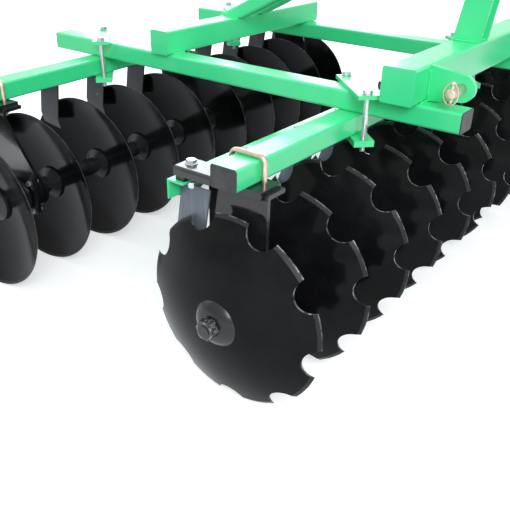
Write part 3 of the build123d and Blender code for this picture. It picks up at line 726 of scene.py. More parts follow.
@dataclass(frozen=True)
class DiscPaint(Finish):
    """Black paint on a pressed disc: rings from the press, haze, and a rim that is worn pale.

    The radii and widths are measured from the axle, in metres.
    """

    point: Colour = (0.0, 0.0, 0.0)
    line: Colour = (0.0, 1.0, 0.0)
    paint: Colour = (0.0040, 0.0042, 0.0048)
    haze: Colour = (0.0095, 0.0100, 0.0108)
    bevel: Colour = (0.050, 0.052, 0.055)
    steel: Colour = (0.30, 0.31, 0.32)
    dust: Colour = (0.17, 0.165, 0.155)
    scratch: Colour = (0.2, 0.2, 0.2)
    bevel_start: float = 0.2705
    bevel_blur: float = 1.2 * MM
    rim: float = 0.280
    worn_in: float = 3.2 * MM
    worn_out: float = 0.4 * MM
    notch_start: float = 0.235
    notch_blur: float = 2 * MM
    waver: float = 4 * MM
    rings_a_metre: float = 900.0
    gloss: float = 0.10
    specular: float = 0.085

    def sockets(self, graph: Graph, coords: Socket) -> dict[str, Any]:
        """Distance from the axle drives the bevel, the worn rim and the press rings."""
        axle = from_axle(graph, coords, self.point, self.line)
        mottle = mottled(graph, coords, 4.0, 150.0)
        scuffs = scuffed(graph, coords, 22.0, 0.5)
        film = dusted(graph, coords, 0.05)
        off = graph.math("SUBTRACT", mottle["Grain"], 0.5)
        radius = graph.math("MULTIPLY_ADD", off, self.waver, axle["Radius"])
        ground = graph.band(radius, self.bevel_start, self.bevel_start + self.bevel_blur)
        worn = graph.band(radius, self.rim - self.worn_in, self.rim - self.worn_out)
        flat = graph.math("ABSOLUTE", axle["Side Face"])
        notch = graph.band(radius, self.notch_start, self.notch_start + self.notch_blur)
        cut = graph.math("MULTIPLY", graph.band(flat, 0.35, 0.15), notch)
        nicked = graph.band(graph.noise(coords, 45.0, 5.0), 0.40, 0.66)
        edge = graph.math("MULTIPLY", graph.math("MAXIMUM", worn, cut), nicked)
        rings = graph.math("SINE", graph.math("MULTIPLY", radius, self.rings_a_metre))
        colour = graph.blend(self.paint, self.haze, mottle["Patches"], 0.7)
        colour = graph.mix(film, colour, self.dust)
        colour = graph.blend(colour, self.bevel, ground, 0.55)
        colour = graph.blend(colour, self.scratch, scuffs["Lines"], 0.3)
        colour = graph.blend(colour, self.steel, edge, 0.65)
        rough = graph.total(self.gloss, (mottle["Patches"], 0.12), (ground, 0.15), (film, 0.8),
                            clamp=True)
        height = graph.total(mottle["Ripple"], (rings, 0.035), (mottle["Grain"], 0.3))
        return {"Base Color": colour, "Roughness": rough, "Coat Weight": 0.0,
                "Specular IOR Level": self.specular,
                "Metallic": graph.math("MULTIPLY", edge, 0.7),
                "Normal": bumped(graph, height, 0.4 * MM, 0.2)}


@dataclass(frozen=True)
class ScraperSteel(Finish):
    """Blue-grey rolled steel, streaked along the blade and stained."""

    blue: Colour = (0.125, 0.148, 0.18)
    pale: Colour = (0.175, 0.20, 0.235)
    stain: Colour = (0.075, 0.083, 0.092)
    scratch: Colour = (0.5, 0.5, 0.5)
    gloss: float = 0.36
    metal: float = 0.25

    def sockets(self, graph: Graph, coords: Socket) -> dict[str, Any]:
        """Streaks between a blue grey and a pale grey, and dark stains."""
        brushing = place_effect(graph, "brushing", {"Coordinates": coords, "Scale": 110.0})
        scuffs = scuffed(graph, coords, 40.0, 0.8)
        streaks = brushing["Streaks"]
        colour = graph.mix(graph.band(streaks, 0.35, 0.7), self.blue, self.pale)
        colour = graph.blend(colour, self.stain, graph.band(brushing["Stains"], 0.52, 0.72), 0.45)
        colour = graph.blend(colour, self.scratch, scuffs["Lines"], 0.5)
        return {"Base Color": colour, "Roughness": graph.total(self.gloss, (streaks, 0.2)),
                "Metallic": self.metal, "Normal": bumped(graph, streaks, 0.3 * MM, 0.25)}


@dataclass(frozen=True)
class Plated(Finish):
    """Plated steel: spangle or rainbow patches over a bright base, with specks of grime."""

    bright: Colour = (0.66, 0.68, 0.69)
    dull: Colour = (0.34, 0.36, 0.38)
    tint: Colour = (0.60, 0.62, 0.66)
    grime: Colour = (0.10, 0.09, 0.08)
    spangle: float = 360.0
    gloss: float = 0.28
    metal: float = 0.95

    def sockets(self, graph: Graph, coords: Socket) -> dict[str, Any]:
        """Crystals of different tone, a tint that drifts, and grime."""
        cells = graph.add("ShaderNodeTexVoronoi", {"Vector": coords, "Scale": self.spangle})
        tone = graph.add("ShaderNodeSeparateColor", {0: cells.outputs["Color"]}).outputs["Red"]
        mottle = mottled(graph, coords, 45.0, 420.0)
        colour = graph.blend(self.bright, self.dull, tone, 0.6)
        colour = graph.blend(colour, self.tint, mottle["Patches"], 0.7)
        colour = graph.blend(colour, self.grime, graph.band(mottle["Grain"], 0.62, 0.75), 0.5)
        return {"Base Color": colour, "Roughness": graph.total(self.gloss, (tone, 0.16)),
                "Metallic": self.metal, "Normal": bumped(graph, mottle["Grain"], 0.2 * MM, 0.35)}


@dataclass(frozen=True)
class BlackPlastic(Finish):
    """Moulded black cap: fine grain, scuffed grey."""

    black: Colour = (0.018, 0.018, 0.019)
    bloom: Colour = (0.065, 0.065, 0.066)
    scratch: Colour = (0.16, 0.16, 0.16)
    gloss: float = 0.40

    def sockets(self, graph: Graph, coords: Socket) -> dict[str, Any]:
        """Grain all over, scuffs and a grey bloom in patches."""
        mottle = mottled(graph, coords, 28.0, 900.0)
        scuffs = scuffed(graph, coords, 60.0, 0.9)
        colour = graph.blend(self.black, self.bloom, mottle["Patches"], 0.45)
        colour = graph.mix(scuffs["Lines"], colour, self.scratch)
        return {"Base Color": colour, "Roughness": graph.total(self.gloss, (mottle["Grain"], 0.2)),
                "Normal": bumped(graph, mottle["Grain"], 0.4 * MM, 0.5)}


@dataclass(frozen=True)
class WornNut(Finish):
    """A painted nut that a spanner has bared in flakes, most of them round its rim."""

    point: Colour = (0.0, 0.0, 0.0)
    line: Colour = (0.0, 1.0, 0.0)
    paint: Colour = (0.012, 0.0125, 0.0135)
    bared: Colour = (0.34, 0.35, 0.36)
    rim_start: float = 20 * MM
    rim_blur: float = 4 * MM
    gloss: float = 0.3

    def sockets(self, graph: Graph, coords: Socket) -> dict[str, Any]:
        """Flakes of bright steel through black paint, by distance from the axle."""
        axle = from_axle(graph, coords, self.point, self.line)
        mottle = mottled(graph, coords, 60.0, 130.0)
        rim = graph.band(axle["Radius"], self.rim_start, self.rim_start + self.rim_blur, 0.02, 0.9)
        flakes = graph.math("MULTIPLY", graph.band(mottle["Grain"], 0.46, 0.62), rim)
        return {"Base Color": graph.mix(flakes, self.paint, self.bared),
                "Roughness": graph.total(self.gloss, (flakes, 0.1)),
                "Metallic": graph.math("MULTIPLY", flakes, 0.9),
                "Normal": bumped(graph, mottle["Grain"], 0.8 * MM, 0.5)}


# ---- pieces that the frame's own nodes become -------------------------------------------


def dress(node: str, finish: Finish) -> None:
    """Give a CAD node its finish, in every material slot that it has."""
    mesh = frame["nodes"][node].data
    mesh.materials.clear()
    mesh.materials.append(finish.material())


def finished(piece: bpy.types.Object, finish: Finish, body: Body) -> bpy.types.Object:
    """Give a new piece its finish, and let it ride on a body.

    Args:
        piece: the object.
        finish: its finish.
        body: the body that it moves with.
    Returns:
        The same object.
    """
    piece.data.materials.append(finish.material())
    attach(piece, body.value)
    log.info("%s: %d faces on %s", piece.name, len(piece.data.polygons), body.value)
    return piece


def fit(parts: Iterable[Surface], name: str, finish: Finish, sharp_deg: float = 35.0) -> None:
    """Join surfaces into one finished piece that rides on the frame.

    Args:
        parts: the surfaces.
        name: the piece's name.
        finish: its finish.
        sharp_deg: edges that turn more than this stay sharp.
    """
    finished(Surface.joined(parts).piece(name, sharp_deg), finish, Body.FRAME)


@dataclass(frozen=True)
class EasedPlate:
    """A copy of a CAD node with its sharp edges eased, as a cut and painted plate has them."""

    node: str
    finish: Finish
    ease: float = 1.2 * MM
    flat_deg: float = 0.6
    sharp_deg: float = 32.0

    def build(self) -> bpy.types.Object:
        """Merge the copy's loose triangles, ease its edges and let it stand for the node."""
        name = f"{self.node}_eased"
        mesh = frame["nodes"][self.node].data.copy()
        mesh.name = name
        mesh.materials.clear()
        joined = bmesh.new()
        joined.from_mesh(mesh)
        bmesh.ops.remove_doubles(joined, verts=joined.verts, dist=1e-5)
        bmesh.ops.dissolve_limit(joined, angle_limit=np.radians(self.flat_deg),
                                 verts=joined.verts, edges=joined.edges)
        joined.to_mesh(mesh)
        joined.free()
        mesh.shade_smooth()
        mesh.set_sharp_from_angle(angle=np.radians(self.sharp_deg))
        piece = in_scene(name, mesh)
        bevel = piece.modifiers.new("eased edges", "BEVEL")
        bevel.width = self.ease
        bevel.segments = 2
        bevel.limit_method = "ANGLE"
        bevel.angle_limit = np.radians(self.sharp_deg)
        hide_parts(self.node)
        return finished(piece, self.finish, Body.FRAME)


# ---- fasteners --------------------------------------------------------------------------


@dataclass(frozen=True)
class Thread:
    """A metric thread, and the heads, nuts and washers that go with it."""

    diameter: float
    pitch: float
    flats: float
    nut: float
    head: float
    washer_r: float
    washer_t: float

    def washer(self) -> Surface:
        """A flat washer standing on z = 0."""
        edge = 0.25 * self.washer_t
        return turned(((0, 0), (self.washer_r - edge, 0), (self.washer_r, edge),
                       (self.washer_r, self.washer_t - edge),
                       (self.washer_r - edge, self.washer_t), (0, self.washer_t)), 32)

    def head_up(self) -> Surface:
        """A washer and a bolt's head on it."""
        head = hexagon(self.flats, self.head, self.flats * 0.34)
        head.points[:, 2] += self.washer_t
        return Surface.joined((self.washer(), head))

    def flange_head_up(self) -> Surface:
        """A bolt's head with a coned flange in one piece with it."""
        wide, narrow = self.flats * 0.71, self.flats * 0.52
        rise = self.washer_t
        flange = turned(((0, 0), (wide - 0.4 * MM, 0), (wide, 0.5 * MM), (wide, 1.6 * MM),
                         (narrow, rise + 1.5 * MM), (0, rise + 1.5 * MM)), 32)
        head = hexagon(self.flats, self.head, self.flats * 0.34)
        head.points[:, 2] += rise - 1.0 * MM
        return Surface.joined((flange, head))

    def nut_up(self, stub: float) -> Surface:
        """A washer, a nut on it and the end of a thread that stands out by stub."""
        nut = hexagon(self.flats, self.nut, self.diameter * 0.56)
        nut.points[:, 2] += self.washer_t
        stem = thread(self.diameter / 2, self.nut + stub, self.pitch)
        stem.points[:, 2] += self.washer_t
        return Surface.joined((self.washer(), nut, stem))

    def shank(self, length: float) -> Surface:
        """A plain shank from z = 0 down to -length."""
        radius = self.diameter / 2
        return turned(((0, -length), (radius, -length), (radius, 0), (0, 0)), 20)


def in_metres(profile_mm: Sequence[tuple[float, float]]) -> Sequence[tuple[float, float]]:
    """A profile of (radius, height) pairs in metres, from millimetres."""
    return tuple((r * MM, z * MM) for r, z in profile_mm)


NIPPLE_MM = ((0, -3), (5, -3), (5, 3), (3.2, 3.6), (3.2, 6), (2.2, 7), (3.4, 9), (3.2, 10.5),
             (1.6, 12), (0, 12))
LINCH_HEAD_MM = ((0, 0), (8, 0), (9, 1.5), (9, 6), (8, 7.5), (0, 7.5))
M10 = Thread(10 * MM, 1.5 * MM, 17 * MM, 8 * MM, 6.4 * MM, 10.5 * MM, 2 * MM)
M14 = Thread(14.6 * MM, 2 * MM, 22 * MM, 11 * MM, 8.8 * MM, 14 * MM, 2.5 * MM)
M16 = Thread(16 * MM, 2 * MM, 24 * MM, 13 * MM, 10 * MM, 15 * MM, 3 * MM)


@dataclass(frozen=True)
class UBolts:
    """Square-shouldered U-bolts that hold each hanger and its clamp plate to the gang beam."""

    gang: GangPlace
    finish: Finish
    from_plate_edge: float = 52 * MM
    half_width: float = 51 * MM
    bend: float = 16 * MM
    hanger_thick: float = 12 * MM
    stub: float = 9 * MM
    size: Thread = M14

    def build(self) -> None:
        """Sweep the bent rod and put a washer and nut on each leg."""
        plates = self.gang.boxes("hanger_plates")
        along = plates[:, 0, 1] + self.from_plate_edge
        hanger_top = self.gang.boxes("bearing_hangers")[0, 1, 2]
        seat = hanger_top - self.hanger_thick
        beam = self.gang.boxes("gang_beam")[0]
        middle = beam[:, 0].mean()
        radius = self.size.diameter / 2
        top = beam[1, 2] + radius
        turn = np.linspace(0, np.pi / 2, 9)
        corner = np.stack((self.bend * (np.sin(turn) - 1), self.bend * (np.cos(turn) - 1)), axis=1)
        right = np.concatenate((
            np.array([[0.0, 0.0]]), corner, np.array([[0.0, seat - top]])))
        right[:, 0] += self.half_width
        right[0, 0] = 0.0
        right[:, 1] += top
        left = right[::-1] * (-1, 1)
        outline = np.concatenate((left[:-1], right)) + (middle, 0.0)
        path = outline[:, :1] * self.gang.ahead + outline[:, 1:] * UP
        bent = rod_along(path, radius, self.gang.along)
        centres = self.gang.origin + along[:, None] * self.gang.along
        legs = np.concatenate([
            self.gang.at(middle + side * self.half_width, along, seat) for side in (-1, 1)])
        nuts = self.size.nut_up(self.stub)
        parts = (bent.placed(centres, UPRIGHT), nuts.placed(legs, self.gang.axes(down=True)))
        fit(parts, f"{self.gang.name}_u_bolts", self.finish)


@dataclass(frozen=True)
class ClampBolts:
    """Long bolts that clamp the gang beams under the main beams, two at each crossing."""

    gang: GangPlace
    finish: Finish
    half_x: float = 78 * MM
    half_y: float = 76.5 * MM
    stub: float = 16 * MM
    threaded: float = 46 * MM
    bars_apart: float = 200 * MM
    size: Thread = M16

    def build(self) -> None:
        """Heads on the top bars, shanks beside both beams, threads through the low bars."""
        plates = solid_boxes(self.gang.node("clamp_plates"), gap=self.bars_apart)
        bars = solid_boxes(self.gang.node("clamp_bars"), gap=self.bars_apart)
        top, low, over = plates[0, 1, 2], bars[0, 0, 2], bars[0, 1, 2]
        middle = plates.mean(axis=1)
        corners = np.array([(side * self.half_x, -side * self.half_y, 0.0) for side in (-1, 1)])
        places = (middle[:, None, :] + corners).reshape(-1, 3)
        places[:, 2] = top
        bolt = Surface.joined((
            self.size.head_up(), self.size.shank(top - over - self.threaded)))
        stem = thread(self.size.diameter / 2, over + self.threaded - low + self.stub,
                      self.size.pitch)
        ends = places * (1, 1, 0) + (0, 0, over + self.threaded)
        parts = (bolt.placed(places, UPRIGHT), stem.placed(ends, UPRIGHT * HUNG))
        fit(parts, f"{self.gang.name}_clamp_bolts", self.finish)


@dataclass(frozen=True)
class ScraperBolts:
    """Flanged bolts through the brackets, and a bolt through each scraper's tab."""

    gang: GangPlace
    finish: Finish
    packing_from_end: float = 27 * MM
    tab_from_end: float = 18.5 * MM
    bar_thick: float = 6 * MM
    tab_thick: float = 8 * MM
    opens_left: bool = True
    large_stub: float = 6 * MM
    small_stub: float = 5 * MM
    large: Thread = M16
    small: Thread = M10

    def build(self) -> None:
        """A head on each bracket and over each tab, and a nut under each."""
        brackets = self.gang.boxes("scraper_brackets")
        bar = self.gang.boxes("scraper_bar")[0]
        blades = self.gang.boxes("scrapers")
        middle = brackets[:, :, 1].mean(axis=1)
        behind = brackets[0, 0, 0] + self.packing_from_end
        bracket_top, bar_top = brackets[0, 1, 2], bar[1, 2]
        bar_low = bar_top - self.bar_thick
        if self.opens_left:
            tab = blades[:, 1, 1] - self.tab_from_end
        else:
            tab = blades[:, 0, 1] + self.tab_from_end
        row = (bar[0, 0] + self.bar_thick + bar[1, 0]) / 2
        upright, hanging = self.gang.axes(), self.gang.axes(down=True)
        parts = (
            self.large.flange_head_up().placed(
                self.gang.at(behind, middle, bracket_top), upright),
            self.large.nut_up(self.large_stub).placed(
                self.gang.at(behind, middle, bar_low), hanging),
            self.small.head_up().placed(self.gang.at(row, tab, bar_top), upright),
            self.small.nut_up(self.small_stub).placed(
                self.gang.at(row, tab, bar_low - self.tab_thick), hanging),
        )
        fit(parts, f"{self.gang.name}_scraper_bolts", self.finish)


@dataclass(frozen=True)
class BearingFittings:
    """Four bolts through each hanger and housing, and a grease nipple on each housing."""

    gang: GangPlace
    bolt_finish: Finish
    nipple_finish: Finish
    half: float = 54 * MM
    hanger_thick: float = 12 * MM
    flange_thick: float = 12 * MM
    housing_r: float = 60 * MM
    nipple_out: float = 34 * MM
    nipple_lean_deg: float = 35.0
    stub: float = 5 * MM
    size: Thread = M10

    def build(self) -> None:
        """Heads on the hanger's near face, nuts on the housing's flange, a nipple on top."""
        seats = self.gang.boxes("bearing_housings")[:, 0, 1]
        along = seats - self.hanger_thick
        height = self.gang.axle_height
        corners = [(x, z) for x in (-1, 1) for z in (-1, 1)]
        near = np.concatenate([
            self.gang.at(x * self.half, along, height + z * self.half) for x, z in corners])
        through = self.hanger_thick + self.flange_thick
        far = near + through * self.gang.along
        outward = np.stack((self.gang.ahead, UP, -self.gang.along))
        inward = np.stack((self.gang.ahead, -UP, self.gang.along))
        parts = (
            self.size.head_up().placed(near, outward),
            self.size.nut_up(self.stub).placed(far, inward),
        )
        fit(parts, f"{self.gang.name}_bearing_bolts", self.bolt_finish)
        nipple = turned(in_metres(NIPPLE_MM), 16)
        lean = np.radians(self.nipple_lean_deg)
        out = np.cos(lean) * UP + np.sin(lean) * self.gang.ahead
        across = np.cross(self.gang.along, out)
        axes = np.stack((across, self.gang.along, out))
        seat = self.gang.at(0.0, along + self.nipple_out, height) + self.housing_r * out
        fit((nipple.placed(seat, axes),), f"{self.gang.name}_grease_nipples",
            self.nipple_finish)


@dataclass(frozen=True)
class HitchPins:
    """Linch pins with spring rings through the ends of the lower link pins."""

    finish: Finish
    from_end: float = 14 * MM
    pin_r: float = 4.5 * MM
    wire_r: float = 2.2 * MM
    out: float = 24 * MM
    ring_half: float = 20 * MM
    ring_past: float = 4 * MM
    ring_off: float = 6 * MM

    def build(self) -> None:
        """A pin down through each link pin's end, its ring sprung round the pin."""
        parts = []
        forward, left, _ = UPRIGHT
        for node, side in (("left_link_pin", 1), ("right_link_pin", -1)):
            low, high = np.array(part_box(node))
            middle = (low + high) / 2
            end = high[1] if side > 0 else low[1]
            seat = np.array((middle[0], end - side * self.from_end, middle[2]))
            stem = np.linspace(-self.out, self.out, 8)[:, None] * UP
            parts.append(rod_along(seat + stem, self.pin_r, forward, 16))
            head = turned(in_metres(LINCH_HEAD_MM), 24)
            parts.append(head.placed((seat + self.out * UP)[None], UPRIGHT))
            angle = np.linspace(0, 2 * np.pi, 40)[:, None]
            ring = (self.ring_half * np.sin(angle) * forward
                    + (self.out + self.ring_past) * np.cos(angle) * UP)
            offset = side * self.ring_off * left
            parts.append(rod_along(seat + ring + offset, self.wire_r, left, 10))
        fit(parts, "linch_pins", self.finish)


@dataclass(frozen=True)
class Welds:
    """Fillet welds where brackets, tubes, cheeks and mast plates meet."""

    front: GangPlace
    rear: GangPlace
    finish: Finish
    bracket_finish: Finish
    leg: float = 6 * MM
    bracket_leg: float = 5 * MM
    set_in: float = 8 * MM
    cheek_set_in: float = 12 * MM
    bracket_set_in: float = 10 * MM
    sharp_deg: float = 60.0

    def build(self) -> None:
        """One bead for each seam, in three pieces: the frame's, and each gang's brackets'."""
        ahead, left, _ = UPRIGHT
        seams: list[Surface] = []
        beams = [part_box(name) for name in ("right_main_beam", "left_main_beam")]
        for tube in ("headstock_tube", "rear_cross_tube"):
            low, high = np.array(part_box(tube))
            for beam_low, beam_high in beams:
                for x, out in ((low[0], -ahead), (high[0], ahead)):
                    seams.append(bead_along(
                        np.array((x, beam_low[1] + self.set_in, low[2])),
                        np.array((x, beam_high[1] - self.set_in, low[2])), out, UP, self.leg))
        tube_low, tube_high = np.array(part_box("headstock_tube"))
        for name in ("right", "left"):
            low, high = np.array(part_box(f"{name}_mast_plate"))
            foot = low[2]
            x0, x1 = tube_low[0] + self.set_in, tube_high[0] - self.set_in
            for y, out in ((low[1], -left), (high[1], left)):
                seams.append(bead_along(np.array((x0, y, foot)), np.array((x1, y, foot)),
                                        out, UP, self.leg))
            low, high = np.array(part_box(f"{name}_hitch_cheek"))
            for y, out in ((low[1], -left), (high[1], left)):
                seams.append(bead_along(
                    np.array((tube_high[0], y, low[2] + self.cheek_set_in)),
                    np.array((tube_high[0], y, high[2] - self.cheek_set_in)),
                    out, ahead, self.leg))
        fit(seams, "frame_welds", self.finish, self.sharp_deg)
        for gang in (self.front, self.rear):
            brackets = gang.boxes("scraper_brackets")
            beam = gang.boxes("gang_beam")[0]
            back, base = beam[0, 0], brackets[0, 1, 2]
            beads = [
                bead_along(gang.at(back, low + self.bracket_set_in, base),
                           gang.at(back, high - self.bracket_set_in, base),
                           -gang.ahead, UP, self.bracket_leg)
                for low, high in brackets[:, :, 1]
            ]
            fit(beads, f"{gang.name}_bracket_welds", self.bracket_finish, self.sharp_deg)


def solid_boxes(node: str, gang: GangPlace | None = None, gap: float = 90 * MM) -> Array:
    """Boxes of a node's solids, apart from one another along the second axis.

    Args:
        node: the CAD node.
        gang: measure in this gang's own frame, or in the row frame where it is None.
        gap: solids are further apart than this.
    Returns:
        (low, high) corners of each solid in order, (n, 2, 3).
    """
    points = node_points(node)
    if gang is not None:
        points = (points - gang.origin) @ np.stack((gang.ahead, gang.along, UP)).T
    points = points[np.argsort(points[:, 1])]
    breaks = np.flatnonzero(np.diff(points[:, 1]) > gap) + 1
    groups = np.split(points, breaks)
    return np.array([(group.min(axis=0), group.max(axis=0)) for group in groups])


# ---- studio -----------------------------------------------------------------------------


@dataclass(frozen=True)
class Studio:
    """A pale floor, soft lamps and a sky that is white to the camera and in reflections."""

    floor_size: float = 60.0
    floor_colour: Colour = (0.80, 0.80, 0.80)
    sky: Colour = (0.80, 0.86, 0.92)
    horizon: Colour = (0.58, 0.60, 0.62)
    ground: Colour = (0.16, 0.155, 0.15)
    floor_glow: float = 0.42
    sky_strength: float = 0.95

    def build(self) -> None:
        """Floor, sky and lamps."""
        self._floor()
        self._world()
        self._lamp("key", (4.2, -4.2, 4.0), (0.2, -0.8, 0.4), 3.0, 290.0)
        self._lamp("fill", (-5.0, -2.0, 4.0), (0.0, 0.0, 0.5), 4.0, 30.0)
        self._lamp("panel", (-4.6, 5.6, 4.6), (0.2, -0.8, 0.6), 5.0, 400.0, (0.84, 0.92, 1.0))

    def _floor(self) -> None:
        """A square floor: pale with the machine's shadow, and dark to the rays that light it."""
        half = self.floor_size / 2
        mesh = bpy.data.meshes.new("floor")
        mesh.from_pydata([(-half, -half, 0), (half, -half, 0), (half, half, 0), (-half, half, 0)],
                         [], [(0, 1, 2, 3)])
        floor = in_scene("floor", mesh)
        paint = bpy.data.materials.new("pale floor")
        graph = Graph.emptied(paint)
        coords = graph.add("ShaderNodeTexCoord").outputs["Object"]
        cloud = graph.noise(coords, 1.3, 3.0)
        colour = graph.mix(graph.math("MULTIPLY", cloud, 0.06), self.floor_colour, (0.7, 0.7, 0.7))
        plain = graph.add("ShaderNodeBsdfDiffuse", {"Color": colour})
        glow = graph.add("ShaderNodeEmission", {
            "Color": (1, 1, 1, 1), "Strength": self.floor_glow})
        lit = graph.add("ShaderNodeAddShader", {0: plain.outputs[0], 1: glow.outputs[0]})
        dark = graph.add("ShaderNodeBsdfDiffuse", {"Color": (*self.ground, 1.0)})
        both = graph.add("ShaderNodeMixShader", {
            0: white_seen(graph), 1: dark.outputs[0], 2: lit.outputs[0]})
        graph.add("ShaderNodeOutputMaterial", {"Surface": both.outputs[0]})
        mesh.materials.append(paint)

    def _world(self) -> None:
        """Sky from pale blue overhead to grey at the horizon, plain white where it is seen."""
        world = bpy.data.worlds.new("studio sky")
        bpy.context.scene.world = world
        graph = Graph.emptied(world)
        way = graph.add("ShaderNodeTexCoord").outputs["Generated"]
        level = graph.add("ShaderNodeSeparateXYZ", {0: way}).outputs["Z"]
        colour = graph.mix(graph.band(level, 0.0, 0.7), self.horizon, self.sky)
        colour = graph.mix(graph.band(level, 0.0, -0.2), colour, self.ground)
        sky = graph.add("ShaderNodeBackground", {
            "Color": colour, "Strength": self.sky_strength})
        white = graph.add("ShaderNodeBackground", {"Color": (1, 1, 1, 1), "Strength": 1.0})
        both = graph.add("ShaderNodeMixShader", {
            0: white_seen(graph), 1: sky.outputs[0], 2: white.outputs[0]})
        graph.add("ShaderNodeOutputWorld", {"Surface": both.outputs[0]})

    def _lamp(self, name: str, place: Colour, aim: Colour, size: float, power: float,
              colour: Colour = (1.0, 1.0, 1.0)) -> None:
        """A square area lamp that looks at a point."""
        light = bpy.data.lights.new(name, "AREA")
        light.color = colour
        light.size = size
        light.energy = power
        lamp = in_scene(name, light)
        lamp.matrix_world = looking(np.array(place), np.array(aim) - np.array(place))
        lamp.visible_camera = False


def white_seen(graph: Graph) -> Socket:
    """One for the rays that see a white background: camera, glossy and transmission rays."""
    rays = graph.add("ShaderNodeLightPath").outputs
    seen = graph.math("MAXIMUM", rays["Is Camera Ray"], rays["Is Glossy Ray"])
    return graph.math("MAXIMUM", seen, rays["Is Transmission Ray"])


def looking(place: Array, way: Array, roll_deg: float = 0.0) -> Matrix:
    """The matrix of a lamp or camera at a place that looks one way, level but for its roll."""
    ahead = way / np.linalg.norm(way)
    right = np.cross(ahead, UP)
    right /= np.linalg.norm(right)
    above = np.cross(right, ahead)
    roll = np.radians(roll_deg)
    right, above = (right * np.cos(roll) + above * np.sin(roll),
                    above * np.cos(roll) - right * np.sin(roll))
    made = np.eye(4)
    made[:3, 0], made[:3, 1], made[:3, 2], made[:3, 3] = right, above, -ahead, place
    return Matrix(made.tolist())


@dataclass(frozen=True)
class Viewpoint:
    """A standing camera near the machine's right front corner, looking back and down."""

    from_axle: Colour = (0.91915, -2.17509, 1.26722)
    yaw_deg: float = -36.35
    down_deg: float = 28.92
    roll_deg: float = 1.23
    lens_mm: float = 46.87

    def build(self, gang: GangPlace) -> None:
        """Stand the camera off the front gang and make it the scene's camera."""
        data = bpy.data.cameras.new("viewpoint")
        data.lens = self.lens_mm
        data.sensor_width = 36.0
        data.clip_start = 0.05
        data.clip_end = 200.0
        camera = in_scene("viewpoint", data)
        yaw, down = np.radians(self.yaw_deg), np.radians(self.down_deg)
        way = np.array((np.sin(yaw) * np.cos(down), np.cos(yaw) * np.cos(down), -np.sin(down)))
        camera.matrix_world = looking(gang.origin + np.array(self.from_axle), way, self.roll_deg)
        bpy.context.scene.camera = camera


# ---- the machine ------------------------------------------------------------------------


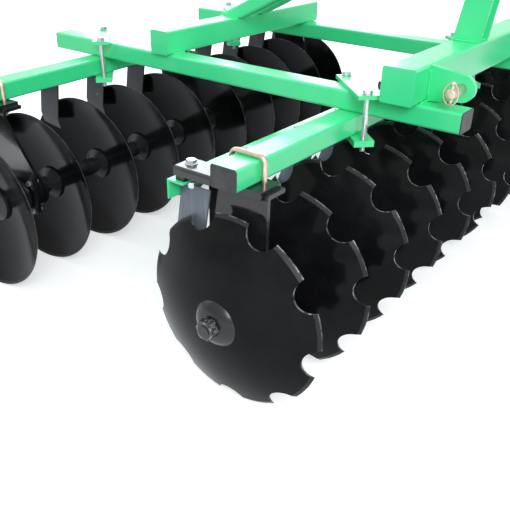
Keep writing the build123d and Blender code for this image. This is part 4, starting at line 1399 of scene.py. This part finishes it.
@dataclass
class DiscHarrow:
    """The whole machine: it names each node's finish and builds each group of small pieces."""

    front: GangPlace = GangPlace("front", "front_gang_spin")
    rear: GangPlace = GangPlace("rear", "rear_gang_spin")
    green: Finish = GreenPaint("green enamel", Slot.GREEN)
    hanger: Finish = BlackPaint("gloss black hanger", Slot.GLOSS_BLACK, gloss=0.10, dusting=0.06,
                                relief=0.12, coat=0.2)
    bracket: Finish = BlackPaint("black bracket", Slot.GLOSS_BLACK, gloss=0.20, dusting=0.12,
                                 specular=0.36)
    casting: Finish = BlackPaint("black casting", Slot.CAST_BLACK, gloss=0.17, grain=90.0,
                                 relief=0.6, wear=0.3, dusting=0.10, coat=0.0, specular=0.4)
    scraper: Finish = ScraperSteel("rolled scraper steel", Slot.SCRAPER)
    zinc: Finish = Plated("galvanised steel", Slot.GALVANISED)
    # Painted shade: a darker copy of the same scraper steel, for the rear scrapers that stand in
    # shade
    shaded_scraper_copy: Finish = ScraperSteel(
        "painted shade scraper steel", Slot.SCRAPER, blue=(0.02, 0.022, 0.026),
        pale=(0.04, 0.045, 0.052), stain=(0.015, 0.016, 0.018))
    gold: Finish = Plated("yellow zinc plate", Slot.YELLOW_ZINC, bright=(0.75, 0.62, 0.47),
                          dull=(0.50, 0.40, 0.30), tint=(0.68, 0.52, 0.44), spangle=80.0,
                          gloss=0.3)
    plastic: Finish = BlackPlastic("black plastic cap", Slot.PLASTIC)
    welds: Finish = GreenPaint("green enamel on weld", Slot.GREEN, wear=0.1)

    def dress_frame(self) -> None:
        """Finishes of the nodes that keep their own mesh, and eased copies of the plates."""
        for node in ("left_main_beam", "right_main_beam", "headstock_tube", "rear_cross_tube",
                     "left_mast_brace", "right_mast_brace"):
            dress(node, self.green)
        for gang in (self.front, self.rear):
            dress(gang.node("gang_beam"), self.green)
            dress(gang.node("bearing_housings"), self.casting)
        plates = [("main_beam_caps", self.plastic)]
        for side in ("left", "right"):
            plates += [(f"{side}_mast_plate", self.green), (f"{side}_hitch_cheek", self.green),
                       (f"{side}_link_pin", self.gold)]
        for gang in (self.front, self.rear):
            plates += [(gang.node(part), finish) for part, finish in (
                ("bearing_hangers", self.hanger), ("hanger_plates", self.hanger),
                ("clamp_plates", self.green), ("clamp_bars", self.green),
                ("beam_caps", self.plastic), ("scraper_brackets", self.bracket),
                ("scraper_bar", self.green))]
        # the rear scrapers take the darker copy of the scraper steel: painted shade
        plates += [("front_scrapers", self.scraper), ("rear_scrapers", self.shaded_scraper_copy)]
        for node, finish in plates:
            EasedPlate(node, finish).build()

    def dress_gangs(self) -> None:
        """Finishes of everything that turns."""
        for gang in (self.front, self.rear):
            centre = gang.at(0.0, 0.0, gang.axle_height)
            disc = DiscPaint(f"{gang.name} disc paint", Slot.GLOSS_BLACK,
                             point=tuple(centre), line=tuple(gang.along))
            dress(gang.node("discs"), disc)
            for part in ("spools", "bearing_spools", "end_bell", "end_washer"):
                dress(gang.node(part), self.casting)
            nut = WornNut(f"{gang.name} worn black nut", Slot.GALVANISED,
                          point=tuple(centre), line=tuple(gang.along))
            dress(gang.node("axle"), nut)
            dress(gang.node("axle_nuts"), nut)

    def build(self) -> None:
        """Dress the frame and gangs, then add fasteners, pins and welds."""
        self.dress_frame()
        self.dress_gangs()
        for gang, opens_left in ((self.front, True), (self.rear, False)):
            UBolts(gang, self.gold).build()
            ClampBolts(gang, self.zinc).build()
            ScraperBolts(gang, self.zinc, opens_left=opens_left).build()
            BearingFittings(gang, self.zinc, self.zinc).build()
        HitchPins(self.gold).build()
        Welds(self.front, self.rear, self.welds, self.bracket).build()


def main() -> None:
    """Build the machine around its frame, then the studio and the camera."""
    logging.basicConfig(level=logging.INFO, format="%(name)s: %(message)s")
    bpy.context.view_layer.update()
    scene = bpy.context.scene
    scene.view_settings.view_transform = "Standard"
    build_effects()
    harrow = DiscHarrow()
    harrow.build()
    Studio().build()
    Viewpoint().build(harrow.front)
    bpy.context.view_layer.update()


if __name__ == "__main__":
    main()
